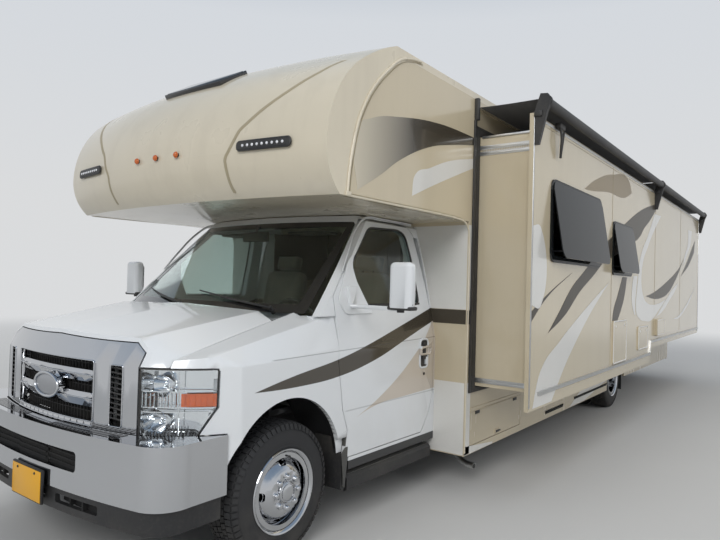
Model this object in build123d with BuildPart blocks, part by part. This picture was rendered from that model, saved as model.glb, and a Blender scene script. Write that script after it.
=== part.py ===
from build123d import *
import os
from math import asin, cos, degrees, radians, sin, sqrt, tan

os.makedirs("parts", exist_ok=True)

# Motorhome with an over-cab coach body on a van cutaway chassis, in millimetres.
# x = 0 is the centreline and +X the driver's side, y = 0 the front axle with the front towards -Y,
# and z = 0 the ground. The pieces move to the part's own origin when they are written.

# Wheels and axles
wheelbase = 5715
tyre_radius = 366
tyre_width = 225
rim_radius = 203
rim_wall = 12
front_track = 1763
dual_face = 1220            # outer face of the outer rear tyre
dual_spacing = 275
kingpin_x = 700
kingpin_radius = 35
spindle_radius = 28
bearing_gap = 0.05
seat_gap = 0.3              # between pieces that rest on each other
axle_tube_radius = 48
hub_radius = 58

# Chassis
frame_half = 430            # outside of the rails
frame_top = 640
rail_height = 190
rail_flange = 70
rail_gauge = 9
frame_rear = 8990
outrigger_y = (1750, 2700, 3650, 4600, wheelbase + 885, wheelbase + 1785, wheelbase + 2685)
outrigger_height = 60
outrigger_half = 1200
cross_member_y = (-560, 1250, 2400, 3900, wheelbase - 565, wheelbase + 585, wheelbase + 1985, frame_rear - 40)
cross_member_z = frame_top - 36
outrigger_width = 50

# Coach body
coach_half = 1257.5
coach_front = 1560
coach_rear = 9070
wall = 40
floor_bottom = frame_top
floor_top = 745
roof_edge = 2903
roof_crown = 3000
roof_gauge = 45
skirt_gauge = 30
skirt_bottom = 268
skirt_rear_bottom = 350
well_front = wheelbase - 415
well_rear = wheelbase + 415
well_flat = 280             # half length of the level top of the wheel well
well_top = 800
wheelhouse_gauge = 12

# Over-cab cap
cap_radius = 6000           # bow of the nose seen from above
nose_y = -175
nose_z = 2200
brow_y = 76
brow_z = 2706
cap_rear = 950
cap_under = 1955
cap_lip_y = -60
cap_gauge = 45
bead_points = ((134, cap_under), (167, 2204), (361, 2610), (790, roof_edge - roof_gauge))

# Cab
cab_half = 1003
cab_sill = 360
cab_waist = 1085
cab_roof_half = 812
cab_roof = 1950
cab_gauge = 45
cab_rear = coach_front
cab_floor = 700
screen_radius = 2250
screen_slope = 1.08         # rearward run for each unit of height
screen_foot_y = 100
screen_foot_z = 1320
glass_gauge = 6
door_gauge = 60
door_gap = 6
door_rear_gap = 10
door_rear = 1534
hood_half = 797
hood_gauge = 18
hood_rear = 60
hood_gap = 6
nose_front = -785           # of the grille, which shares the body's outline
nose_bow = 2600             # bow of the front seen from above
nose_corner = 680
nose_break = 1060           # height above which the front leans back
nose_lean = 0.5             # rearward run there for each unit of height
lamp_gap = 5
bumper_bottom = 449
bumper_top = 738
bumper_end = -395
arch_radius = 440
arch_y = 20
arch_z = 420
liner_radius = 492
fender_rear = 540

# Slide-out, drawn out by its full travel
slide_travel = 400
slide_face = 1705.5         # outside of its outer panel
slide_panel = 30
slide_front = 1610
slide_rear = 9050
slide_bottom = 640
slide_step_y = well_front + 100
slide_rear_bottom = 810
slide_top = 2690
box_front = 1700
box_rear = 8990
box_inner = 1190
box_gauge = 35
box_bottom = floor_top + 15
box_rear_bottom = 930
box_top = 2590
seal_gap = 5
seal_proud = 12
roller_radius = 36
roller_x = 1775
roller_z = 2763

# Right side
entry_front = 3450
entry_width = 710
entry_bottom = 450
entry_top = 2440
entry_gap = 5
entry_pin = 7
awning_front = 1680
awning_rear = 7600
awning_depth = 105


def mid_plane(x=0):
    """Side view plane: local x is the row's y, local y its z, and the normal is +X."""
    return Plane.YZ.offset(x)


def across(y):
    """Cross section plane at y: local x is the row's x, local y its z; a negative amount runs back."""
    return Plane(origin=(0, y, 0), x_dir=(1, 0, 0), z_dir=(0, -1, 0))


def level(z):
    """Plan view plane at height z."""
    return Plane.XY.offset(z)


def block(x, y, z, mode=Mode.ADD):
    """Box between pairs of limits."""
    with Locations(((x[0] + x[1]) / 2, (y[0] + y[1]) / 2, (z[0] + z[1]) / 2)):
        Box(x[1] - x[0], y[1] - y[0], z[1] - z[0], mode=mode)


def side_slab(points, x, corner=0, mode=Mode.ADD):
    """Plate with a side view outline between two x limits, with its corners rounded."""
    with BuildSketch(mid_plane(x[0])) as outline:
        with BuildLine():
            Polyline(*points, close=True)
        make_face()
        if corner:
            fillet(outline.vertices(), corner)
    extrude(outline.sketch, amount=x[1] - x[0], mode=mode)


def rounded_window(y, z, x, corner, mode=Mode.ADD):
    """Rectangle with round corners in side view, between two x limits."""
    with BuildSketch(mid_plane(x[0])) as outline:
        with Locations(((y[0] + y[1]) / 2, (z[0] + z[1]) / 2)):
            RectangleRounded(y[1] - y[0], z[1] - z[0], corner)
    extrude(outline.sketch, amount=x[1] - x[0], mode=mode)


def tube_x(centre, radius, x, mode=Mode.ADD):
    """Cylinder along X about (y, z) between two x limits."""
    with BuildSketch(mid_plane(x[0])) as outline:
        with Locations(centre):
            Circle(radius)
    extrude(outline.sketch, amount=x[1] - x[0], mode=mode)


# Chassis frame: two channel rails, cross members, outriggers under the floor and a hitch receiver
rail_bottom = frame_top - rail_height
bumper_front = -885
bumper_bow = 4200
bumper_gauge = 35
rail_front = bumper_front + bumper_gauge + frame_half**2 / (2 * bumper_bow) + seat_gap
hitch_half = 25.4
hitch_wall = 6.35
hitch_rear = 9130
hitch_z = 440
with BuildPart() as chassis_frame:
    with BuildSketch(across(rail_front)):
        with Locations((frame_half - rail_flange / 2, frame_top - rail_height / 2)):
            Rectangle(rail_flange, rail_height)
        with Locations((frame_half - rail_gauge - rail_flange / 2, frame_top - rail_height / 2)):
            Rectangle(rail_flange, rail_height - 2 * rail_gauge, mode=Mode.SUBTRACT)
    extrude(amount=-(frame_rear - rail_front))
    mirror(about=Plane.YZ)
    for y in cross_member_y:
        block((-frame_half + rail_gauge, frame_half - rail_gauge), (y, y + 40),
              (cross_member_z, frame_top - 1))
    for y in outrigger_y:
        block((-outrigger_half, outrigger_half), (y, y + outrigger_width),
              (frame_top - outrigger_height, frame_top))
    # body mounts under the cab
    for x in (-frame_half + 35, frame_half - 35):
        for y in (700, 1400):
            with Locations((x, y, (frame_top + cab_floor - 40 - seat_gap) / 2)):
                Cylinder(32, cab_floor - 40 - seat_gap - frame_top)
    # hitch cross tube below the rails with its square receiver
    block((-frame_half, frame_half), (frame_rear - 90, frame_rear - 15), (hitch_z - 30, rail_bottom))
    outer = hitch_half + hitch_wall
    block((-outer, outer), (frame_rear - 120, hitch_rear), (hitch_z - outer, hitch_z + outer))
    block((-hitch_half, hitch_half), (frame_rear - 120, hitch_rear),
          (hitch_z - hitch_half, hitch_z + hitch_half), mode=Mode.SUBTRACT)

# Engine and gearbox as one plain block on its mounts, with its radiator ahead
engine_front = -340
engine_half = 330
gearbox_rear = 1180
with BuildPart() as engine:
    block((-engine_half, engine_half), (engine_front, 235), (540, 1060))
    block((-170, 170), (235, gearbox_rear), (470, 650))
    block((-356, 356), (engine_front - 60, engine_front), (500, 1080))
    for side in (-1, 1):
        block(sorted((side * engine_half, side * (frame_half - rail_gauge - seat_gap))), (-60, 20),
              (500, 545))

# Front axle: a dropped beam with spring seats, coil springs and radius arms
beam_z = tyre_radius - 40
with BuildPart() as front_axle:
    with BuildSketch(across(-45)):
        with BuildLine():
            Polyline((-kingpin_x, tyre_radius - 45), (-600, tyre_radius - 45), (-430, beam_z - 60),
                     (430, beam_z - 60), (600, tyre_radius - 45), (kingpin_x, tyre_radius - 45),
                     (kingpin_x, tyre_radius + 45), (560, tyre_radius + 45), (400, beam_z + 30),
                     (-400, beam_z + 30), (-560, tyre_radius + 45), (-kingpin_x, tyre_radius + 45),
                     close=True)
        make_face()
    extrude(amount=-90)
    for side in (-1, 1):
        with Locations((side * kingpin_x, 0, tyre_radius)):
            Cylinder(kingpin_radius + 12, 130)
        with Locations((side * 540, 0, tyre_radius + 50)):
            Cylinder(70, 30)
        for turn in range(5):
            with Locations((side * 540, 0, tyre_radius + 84 + turn * 34)):
                Cylinder(58, 17)
        with Locations((side * 540, 0, tyre_radius + 150)):
            Cylinder(36, 190)
        with Locations((side * 540, 0, tyre_radius + 245)):
            Cylinder(66, 20)
        block(sorted((side * 540, side * frame_half)), (-40, 40), (tyre_radius + 235, tyre_radius + 265))
        block(sorted((side * 395, side * 345)), (30, 900), (beam_z - 45, beam_z + 5))
        block(sorted((side * 395, side * 345)), (850, 900), (beam_z - 45, rail_bottom))

# Steering knuckles: a yoke about the kingpin with the wheel's spindle
wheel_plane = front_track / 2
yoke_half = 71              # half of the clear height between the yoke's arms
with BuildPart() as knuckle_left:
    for z in (tyre_radius + yoke_half, tyre_radius - yoke_half - 30):
        block((kingpin_x - 30, kingpin_x + 78), (-38, 38), (z, z + 30))
        with Locations((kingpin_x, 0, z + 15)):
            Cylinder(44, 30)
    block((kingpin_x + 56, kingpin_x + 78), (-60, 60),
          (tyre_radius - yoke_half - 30, tyre_radius + yoke_half + 30))
    tube_x((0, tyre_radius), spindle_radius, (kingpin_x + 78, wheel_plane + 62))
    block((kingpin_x - 20, kingpin_x + 60), (60, 190), (tyre_radius - 88, tyre_radius - 68))
    block((kingpin_x + 50, kingpin_x + 70), (38, 80), (tyre_radius - 95, tyre_radius - 60))


def turned(wheel_y, *outlines):
    """Body turned about the wheels' axis from outlines of (x, radius) points; four numbers make an arc."""
    with BuildSketch(across(wheel_y)) as section:
        for outline in outlines:
            with BuildLine():
                start = outline[0]
                for step in outline[1:]:
                    end = step[-2:]
                    if len(step) == 2:
                        Line((start[0], tyre_radius + start[1]), (end[0], tyre_radius + end[1]))
                    else:
                        ThreePointArc((start[0], tyre_radius + start[1]), (step[0], tyre_radius + step[1]),
                                      (end[0], tyre_radius + end[1]))
                    start = end
            make_face()
    revolve(section.sketch, axis=Axis((0, wheel_y, tyre_radius), (1, 0, 0)))


def tyre(x):
    """Outline of a tyre whose middle plane is at x."""
    half = tyre_width / 2
    shoulder = tyre_radius - 26
    bulge = (rim_radius + tyre_radius) / 2 - 10
    return ((x + half - 12, rim_radius), (x + half, bulge, x + half - 16, shoulder),
            (x + half - 24, tyre_radius - 9, x + half - 40, tyre_radius - 1),
            (x, tyre_radius, x - half + 40, tyre_radius - 1),
            (x - half + 24, tyre_radius - 9, x - half + 16, shoulder),
            (x - half, bulge, x - half + 12, rim_radius), (x + half - 12, rim_radius))


def barrel(x):
    """Outline of a rim's barrel with its two flanges."""
    half = tyre_width / 2 - 12
    wall_in = rim_radius - rim_wall
    bead_in = rim_radius - 26
    return ((x - half, rim_radius), (x + half, rim_radius), (x + half, bead_in), (x + half - 10, bead_in),
            (x + half - 14, wall_in), (x - half + 14, wall_in), (x - half + 10, bead_in), (x - half, bead_in),
            (x - half, rim_radius))


def domed_disc(x):
    """Outline of a front wheel's disc: a channel inside the rim and a dome that stands out from x."""
    wall_in = rim_radius - rim_wall
    return ((x - 34, wall_in + 4), (x - 30, 182), (x - 22, 176), (x - 12, 162), (x + 20, 134), (x + 37, 107),
            (x + 37, hub_radius - 4), (x + 24, hub_radius - 4), (x + 24, 103), (x + 8, 127), (x - 26, 157),
            (x - 42, 178), (x - 46, wall_in + 4), (x - 34, wall_in + 4))


def deep_disc(x, outwards):
    """Outline of a twin wheel's disc: flat where it is bolted at x, and dished outwards to its barrel."""
    wall_in = rim_radius - rim_wall
    return ((x, hub_radius - 4), (x, 112), (x + outwards * 34, 150), (x + outwards * 46, wall_in + 4),
            (x + outwards * 68, wall_in + 4), (x + outwards * 48, 146), (x + outwards * 14, 108),
            (x + outwards * 14, hub_radius - 4), (x, hub_radius - 4))


def hub(x_in, x_out, bore):
    """Outline of a hub's sleeve."""
    return ((x_in, bore), (x_out, bore), (x_out, hub_radius), (x_in, hub_radius), (x_in, bore))


def hub_cap(x):
    """Outline of a domed cap over the end of a hub, from x outwards."""
    return ((x - 1, 0), (x - 1, hub_radius), (x + 6, hub_radius), (x + 17, 40, x + 21, 12), (x + 21, 0),
            (x - 1, 0))


def hub_plane(x, wheel_y):
    """Plane across the wheels' axis at x."""
    return Plane(origin=(x, wheel_y, tyre_radius), x_dir=(0, 1, 0), z_dir=(1, 0, 0))


# Front wheels: domed disc with hand holes, brake disc, hub with its cap, and lug covers
front_face = wheel_plane + tyre_width / 2 - 24
hand_hole_circle = 148
lugs = 8
lug_circle = 82.5
lug_radius = 15
brake_radius = 168
with BuildPart() as front_tyre_left:
    turned(0, tyre(wheel_plane))

with BuildPart() as front_wheel_left:
    rotor = kingpin_x + 96
    turned(0, barrel(wheel_plane), domed_disc(front_face),
           hub(rotor, front_face + 37, spindle_radius + bearing_gap), hub_cap(front_face + 37),
           ((rotor, hub_radius - 4), (rotor, brake_radius), (rotor + 28, brake_radius),
            (rotor + 28, hub_radius - 4), (rotor, hub_radius - 4)))
    with BuildSketch(hub_plane(front_face - 60, 0)):
        with PolarLocations(hand_hole_circle, 4):
            SlotOverall(46, 24, rotation=90)
    extrude(amount=100, mode=Mode.SUBTRACT)
    with BuildSketch(hub_plane(front_face + 28, 0)):
        with PolarLocations(lug_circle, lugs):
            Circle(lug_radius)
    extrude(amount=26)


# Rear wheels: two tyres and two rims bolted together on one hub for each side
outer_plane = dual_face - tyre_width / 2
inner_plane = outer_plane - dual_spacing
dual_mid = (outer_plane + inner_plane) / 2
with BuildPart() as rear_tyres_left:
    turned(wheelbase, tyre(inner_plane), tyre(outer_plane))

with BuildPart() as rear_wheels_left:
    turned(wheelbase, barrel(outer_plane), barrel(inner_plane), deep_disc(dual_mid, 1),
           deep_disc(dual_mid, -1), hub(dual_mid - 130, dual_mid + 140, axle_tube_radius + bearing_gap),
           hub_cap(dual_mid + 140))
    with BuildSketch(hub_plane(dual_mid - 80, wheelbase)):
        with PolarLocations(hand_hole_circle, 4):
            SlotOverall(46, 24, rotation=90)
    extrude(amount=160, mode=Mode.SUBTRACT)
    with BuildSketch(hub_plane(dual_mid, wheelbase)):
        with PolarLocations(lug_circle, lugs):
            Circle(lug_radius)
    extrude(amount=46)

# Rear axle: tube with its differential, leaf springs hung from the rails, and the drive shaft
spring_x = 520
spring_rise = 60
spring_half = 640
shaft_front = gearbox_rear + 6
shaft_front_z = 545
with BuildPart() as rear_axle:
    tube_x((wheelbase, tyre_radius), axle_tube_radius, (-dual_mid - 132, dual_mid + 132))
    with Locations((0, wheelbase, tyre_radius)):
        Sphere(165)
    with BuildSketch(Plane.XZ.offset(-(wheelbase - 270))):
        with Locations((0, tyre_radius)):
            Circle(62)
    extrude(amount=-140)
    shaft_run = wheelbase - 270 - shaft_front
    shaft_drop = shaft_front_z - tyre_radius
    shaft_start = Plane(origin=(0, shaft_front, shaft_front_z), z_dir=(0, shaft_run, -shaft_drop))
    with BuildSketch(shaft_start):
        Circle(44)
    extrude(amount=sqrt(shaft_run**2 + shaft_drop**2) + 20)
    for side in (-1, 1):
        for leaf in range(4):
            with BuildSketch(mid_plane(side * spring_x - 38)):
                reach = spring_half - leaf * 130
                drop = spring_rise * (reach / spring_half) ** 2
                base = tyre_radius + axle_tube_radius + 6 + (3 - leaf) * 11
                with BuildLine():
                    ThreePointArc((wheelbase - reach, base + drop), (wheelbase, base),
                                  (wheelbase + reach, base + drop))
                    Line((wheelbase + reach, base + drop), (wheelbase + reach, base + drop + 11))
                    ThreePointArc((wheelbase + reach, base + drop + 11), (wheelbase, base + 11),
                                  (wheelbase - reach, base + drop + 11))
                    Line((wheelbase - reach, base + drop + 11), (wheelbase - reach, base + drop))
                make_face()
            extrude(amount=76)
        block(sorted((side * (spring_x - 46), side * (spring_x + 46))), (wheelbase - 55, wheelbase + 55),
              (tyre_radius - 30, tyre_radius + axle_tube_radius + 52))
        for y in (wheelbase - spring_half, wheelbase + spring_half):
            tube_x((y, tyre_radius + axle_tube_radius + 110), 26,
                   sorted((side * (spring_x + 38), side * (frame_half + seat_gap))))

# Tanks and luggage tubs hung below the floor
tub_gauge = 10
tub_inner = 640
tank_front = well_rear + 650
tank_rear = tank_front + 700
side_tank = (well_rear + 480, well_rear + 1410)
luggage_left = ((1640, 2590), (322, 580))
luggage_right = ((2100, 3100), (322, 580))
hang_z = frame_top - outrigger_height - seat_gap
strap_half = frame_half - rail_gauge - seat_gap
with BuildPart() as underfloor_tubs:
    block((-330, 330), (tank_front, tank_rear), (330, 560))
    block((560, 1180), (2690, 3690), (330, hang_z))
    block((-1180, -560), side_tank, (345, hang_z))
    fillet(underfloor_tubs.edges().filter_by(Axis.Z), 40)
    for y in (tank_front + 10, tank_rear - 40):
        block((-strap_half, strap_half), (y, y + 30), (555, 590))
    for side, bay in ((1, luggage_left), (-1, luggage_right)):
        y = bay[0]
        outer = coach_half - skirt_gauge - 6
        block(sorted((side * tub_inner, side * outer)), (y[0] - 6, y[1] + 6), (bay[1][0] - 12, hang_z))
        block(sorted((side * (tub_inner + tub_gauge), side * (outer + 1))),
              (y[0] - 6 + tub_gauge, y[1] + 6 - tub_gauge), (bay[1][0] - 2, hang_z + 1), mode=Mode.SUBTRACT)

# Exhaust: pipe from the gearbox past the axle with a silencer, turned out to the side behind the wheels
exhaust_x = -240
exhaust_z = 458
exhaust_turn = well_rear + 350
pipe_radius = 32
with BuildPart() as exhaust:
    with BuildLine() as run:
        FilletPolyline((exhaust_x, 700, exhaust_z), (exhaust_x, exhaust_turn, exhaust_z),
                       (exhaust_x + 200, exhaust_turn + 40, 400), (700, exhaust_turn + 40, 395),
                       (1120, exhaust_turn + 40, 330), radius=60)
    with BuildSketch(Plane(origin=(exhaust_x, 700, exhaust_z), z_dir=(0, 1, 0))):
        Circle(pipe_radius)
    sweep()
    with Locations((exhaust_x, 3250, exhaust_z)):
        Cylinder(95, 560, rotation=(90, 0, 0))
    for y in cross_member_y[1:5]:
        block((exhaust_x - 12, exhaust_x + 12), (y + 10, y + 30), (exhaust_z, cross_member_z - seat_gap))


def cab_section():
    """Outside of the cab across the vehicle."""
    with BuildLine() as edge:
        Polyline((-cab_half, cab_waist), (-cab_half, cab_sill), (cab_half, cab_sill), (cab_half, cab_waist))
        ThreePointArc((cab_half, cab_waist), (935, 1440), (cab_roof_half, cab_roof - 40))
        Polyline((cab_roof_half, cab_roof - 40), (cab_roof_half - 50, cab_roof),
                 (50 - cab_roof_half, cab_roof), (-cab_roof_half, cab_roof - 40))
        ThreePointArc((-cab_roof_half, cab_roof - 40), (-935, 1440), (-cab_half, cab_waist))
    make_face(edge.edges())


def screen_solid(inset, mode):
    """Everything behind the windscreen's outer surface, moved back by inset: a slanted round front."""
    low = 300
    foot = screen_foot_y + inset - (screen_foot_z - low) * screen_slope
    height = 1800
    with BuildSketch(level(low)) as plan:
        with BuildLine():
            side = 1200
            bow = screen_radius - sqrt(screen_radius**2 - side**2)
            ThreePointArc((-side, foot + bow), (0, foot), (side, foot + bow))
            Polyline((side, foot + bow), (side, foot + 6000), (-side, foot + 6000), (-side, foot + bow))
        make_face()
    extrude(plan.sketch, amount=height * sqrt(1 + screen_slope**2), dir=(0, screen_slope, 1), mode=mode)


door_outline = ((505, 438), (526, 600), (476, 726), (425, 1016), (428, 1405),
                (640, 1652), (892, 1922), (1420, 1926), (1482, 1860), (door_rear, 1330), (door_rear, 690),
                (1480, 560), (1385, 436))
window_outline = ((650, 1600), (668, 1500), (756, 1345), (1395, 1345), (1395, 1660), (1378, 1850),
                  (1300, 1882),
                  (925, 1868))


def outline_slab(points, grow, x, corner, mode=Mode.ADD):
    """Plate with a side view outline grown by an offset."""
    with BuildSketch(mid_plane(x[0])) as outline:
        with BuildLine():
            Polyline(*points, close=True)
        make_face()
        fillet(outline.vertices(), corner)
        if grow:
            offset(amount=grow, kind=Kind.INTERSECTION, mode=Mode.REPLACE)
    extrude(outline.sketch, amount=x[1] - x[0], mode=mode)


nose_rear_y = 560


def nose_section(y, waist, shoulder, cut_z, crease, top):
    """Outside of the front end across the vehicle at y; shoulder and crease are (x, z) ridges."""
    points = [(cab_half, 560), (cab_half, waist), shoulder, (hood_half + hood_gap / 2, cut_z), crease,
              (0, top)]
    mirrored = [(-x, z) for x, z in points[::-1][1:]]
    with BuildSketch(across(y)) as section:
        with BuildLine():
            Polyline(*points, *mirrored, close=True)
        make_face()
    return section.sketch


with BuildPart(mode=Mode.PRIVATE) as nose_form:
    front_section = nose_section(-800, 1026, (902, 1037), 1041, (594, 1166), 1186)
    rear_section = nose_section(nose_rear_y, 1112, (955, 1330), 1392, (740, 1400), 1420)
    loft(sections=[front_section, rear_section], ruled=True)


def front_outline():
    """Front end seen from above, below the height where it leans back."""
    corner_y = nose_front + nose_bow - sqrt(nose_bow**2 - nose_corner**2)
    with BuildLine() as edge:
        ThreePointArc((-nose_corner, corner_y), (0, nose_front), (nose_corner, corner_y))
        ThreePointArc((nose_corner, corner_y), (850, -562), (cab_half, -330))
        Polyline((cab_half, -330), (cab_half, nose_rear_y), (-cab_half, nose_rear_y), (-cab_half, -330))
        ThreePointArc((-cab_half, -330), (-850, -562), (-nose_corner, corner_y))
    make_face(edge.edges())


# Everything behind the front surface
with BuildPart(mode=Mode.PRIVATE) as nose_plan:
    with BuildSketch(level(400)) as foot:
        front_outline()
    extrude(foot.sketch, amount=nose_break - 400)
    with BuildSketch(level(nose_break)) as head:
        front_outline()
    extrude(head.sketch, amount=500 * sqrt(1 + nose_lean**2), dir=(0, nose_lean, 1))


def lamp_outline(grow):
    """Front view outline of the left head lamp, grown by an amount."""
    inner = grille_half + lamp_gap + 3
    with BuildSketch(across(-800)) as lens:
        with BuildLine():
            Polyline((inner, 700), (880, 700), (948, 872), (948, nose_break - lamp_gap),
                     (inner, nose_break - lamp_gap), close=True)
        make_face()
        fillet(lens.vertices(), 14)
        if grow:
            offset(amount=grow, mode=Mode.REPLACE)
    return lens.sketch


# Pads under the hood's rear edge
with BuildPart(mode=Mode.PRIVATE) as hood_pads:
    for x in (-440, 380):
        block((x, x + 60), (15, 60), (1240, 1400))
    add(nose_form.part.moved(Location((0, 0, -hood_gauge - seat_gap))), mode=Mode.INTERSECT)

# Skins of the front fenders, open below and behind, and round the head lamps in front
fender_gauge = (35, 30)
grille_half = 676
with BuildPart(mode=Mode.PRIVATE) as fender_room:
    add(nose_form.part.moved(Location((-fender_gauge[0], 0, -fender_gauge[1]))))
    add(nose_plan.part.moved(Location((-10, 25, 0))), mode=Mode.INTERSECT)

with BuildPart(mode=Mode.PRIVATE) as fender_skins:
    add(nose_form.part)
    add(nose_plan.part, mode=Mode.INTERSECT)
    block((hood_half + hood_gap, cab_half + 1), (-900, nose_rear_y), (430, 1500), mode=Mode.INTERSECT)
    add(fender_room.part, mode=Mode.SUBTRACT)
    extrude(lamp_outline(lamp_gap), amount=-395, mode=Mode.SUBTRACT)
    mirror(about=Plane.YZ)

# Cab body: pillars, roof, dash panel, floor and sills around two doorways
sill_inner = 930
cowl_half = 600
cowl_top = 1268
dash_y = 250
with BuildPart() as cab_body:
    with BuildSketch(across(dash_y)):
        cab_section()
    extrude(amount=-(cab_rear - dash_y))
    with BuildSketch(across(dash_y - 1)):
        cab_section()
        offset(amount=-cab_gauge, mode=Mode.REPLACE)
    extrude(amount=-(cab_rear + 1 - dash_y), mode=Mode.SUBTRACT)
    screen_solid(0, Mode.INTERSECT)
    block((-cab_half + cab_gauge, cab_half - cab_gauge), (dash_y - 1, cab_rear + 1),
          (cab_sill - 1, cab_floor),
          mode=Mode.SUBTRACT)
    for side in ((700, 1100), (-1100, -700)):
        outline_slab(door_outline, door_gap, side, 12, mode=Mode.SUBTRACT)
        block(side, (door_rear - 60, door_rear + door_rear_gap), (700, 1840), mode=Mode.SUBTRACT)
    for side in ((950, 1100), (-1100, -950)):
        block(side, (200, fender_rear), (cab_sill - 1, 1289), mode=Mode.SUBTRACT)
    block((-sill_inner, sill_inner), (dash_y, cab_rear), (cab_floor - 40, cab_floor))
    for side in (-1, 1):
        block(sorted((side * (sill_inner - 15), side * sill_inner)), (fender_rear, cab_rear),
              (395, cab_floor))
        block(sorted((side * (sill_inner - 15), side * (cab_half - 10))), (fender_rear, cab_rear), (395, 420))
    for side in ((880, 1100), (-1100, -880)):
        block(side, (200, 412), (cab_sill - 1, 1289), mode=Mode.SUBTRACT)
    block((-945, 945), (dash_y, dash_y + 25), (cab_floor - 40, 1262))
    block((-800, 800), (dash_y, dash_y + 25), (1261, 1300))
    for side in ((880, 930), (-930, -880)):
        block(side, (dash_y + 12, 410), (1240, 1290))
    block((-cowl_half, cowl_half), (15, dash_y + 10), (cowl_top - 18, cowl_top))
    add(hood_pads.part)
    add(fender_skins.part, mode=Mode.SUBTRACT)
    for side in ((610, 1100), (-1100, -610)):
        tube_x((arch_y, arch_z), liner_radius + 10 + seat_gap, side, mode=Mode.SUBTRACT)
    block((-620, 620), (1150, cab_rear + 1), (cab_roof - 60, cab_roof + 1), mode=Mode.SUBTRACT)

with BuildPart() as windscreen:
    with BuildSketch(across(0)):
        cab_section()
        offset(amount=-cab_gauge - seat_gap, mode=Mode.REPLACE)
    extrude(amount=-1400)
    screen_solid(4, Mode.INTERSECT)
    screen_solid(4 + glass_gauge * 1.5, Mode.SUBTRACT)
    block((-1100, 1100), (-500, 2000), (1301, cab_roof - cab_gauge), mode=Mode.INTERSECT)

# Room kept free around the windscreen's foot and the pillars
with BuildPart(mode=Mode.PRIVATE) as screen_space:
    with BuildSketch(across(-100)):
        cab_section()
        offset(amount=1, mode=Mode.REPLACE)
    extrude(amount=-1600)
    screen_solid(-1, Mode.INTERSECT)
    block((-1100, 1100), (-500, 2000), (1289, 2000), mode=Mode.INTERSECT)

# Room below the hood's skin, behind the lips that reach down to the head lamps
lip_inner = grille_half + 8
with BuildPart(mode=Mode.PRIVATE) as hood_room:
    add(nose_plan.part.moved(Location((0, hood_gauge, 0))))
    block((-lip_inner, lip_inner), (-900, 0), (900, 1500))
    add(nose_form.part.moved(Location((0, 0, -hood_gauge))), mode=Mode.INTERSECT)

with BuildPart() as hood:
    add(nose_form.part)
    add(nose_plan.part, mode=Mode.INTERSECT)
    block((-hood_half, hood_half), (-900, hood_rear), (nose_break + 2, 1500), mode=Mode.INTERSECT)
    add(hood_room.part, mode=Mode.SUBTRACT)

# Front fenders: skins, wheel arches with liners, and the panel across behind the grille and lamps,
# with a post that the hood's latch rests on
panel_y = -420
with BuildPart(mode=Mode.PRIVATE) as latch_post:
    block((-40, 40), (panel_y, panel_y + 15), (990, 1400))
    add(nose_form.part.moved(Location((0, 0, -hood_gauge - seat_gap))), mode=Mode.INTERSECT)

with BuildPart() as front_fenders:
    add(fender_skins.part)
    block((-1100, 0), (-1000, 1000), (0, 2000), mode=Mode.SUBTRACT)
    block((0, 500), (panel_y, panel_y + 15), (650, 1000))
    block((500, 955), (panel_y, panel_y + 15), (600, 1000))
    with BuildSketch(mid_plane(620)):
        with Locations((arch_y, arch_z)):
            Circle(liner_radius + 10)
            Circle(liner_radius, mode=Mode.SUBTRACT)
        with Locations((arch_y, arch_z - 600)):
            Rectangle(1400, 1300, mode=Mode.SUBTRACT)
    extrude(amount=950 - 620)
    with BuildSketch(mid_plane(950)):
        with Locations((arch_y, arch_z)):
            Circle(liner_radius + 10)
        with Locations((arch_y, arch_z - 600)):
            Rectangle(1400, 1300, mode=Mode.SUBTRACT)
    extrude(amount=24)
    tube_x((arch_y, arch_z), arch_radius, (940, 1100), mode=Mode.SUBTRACT)
    block((900, 1100), (arch_y - arch_radius, arch_y + arch_radius - 20), (300, arch_z), mode=Mode.SUBTRACT)
    block((500, 1100), (-800, bumper_end + 6), (300, bumper_top + 4), mode=Mode.SUBTRACT)
    outline_slab(door_outline, door_gap, (700, 1100), 12, mode=Mode.SUBTRACT)
    add(screen_space.part, mode=Mode.SUBTRACT)
    mirror(about=Plane.YZ)
    add(latch_post.part)

# Grille: bowed surround with three deep bars, side vents and a band rolled back to the hood
grille_bottom = 705
grille_gauge = 22
opening_half = 390
opening_z = (766, 1069)
vent_x = (505, 585)
vent_z = (762, 1060)
bar_rows = ((709, 767), (832, 903), (955, 1017))
bow_centre = nose_front + nose_bow
with BuildPart(mode=Mode.PRIVATE) as nose_shell:
    add(nose_plan.part)
    add(nose_plan.part.moved(Location((0, grille_gauge, 0))), mode=Mode.SUBTRACT)

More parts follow.
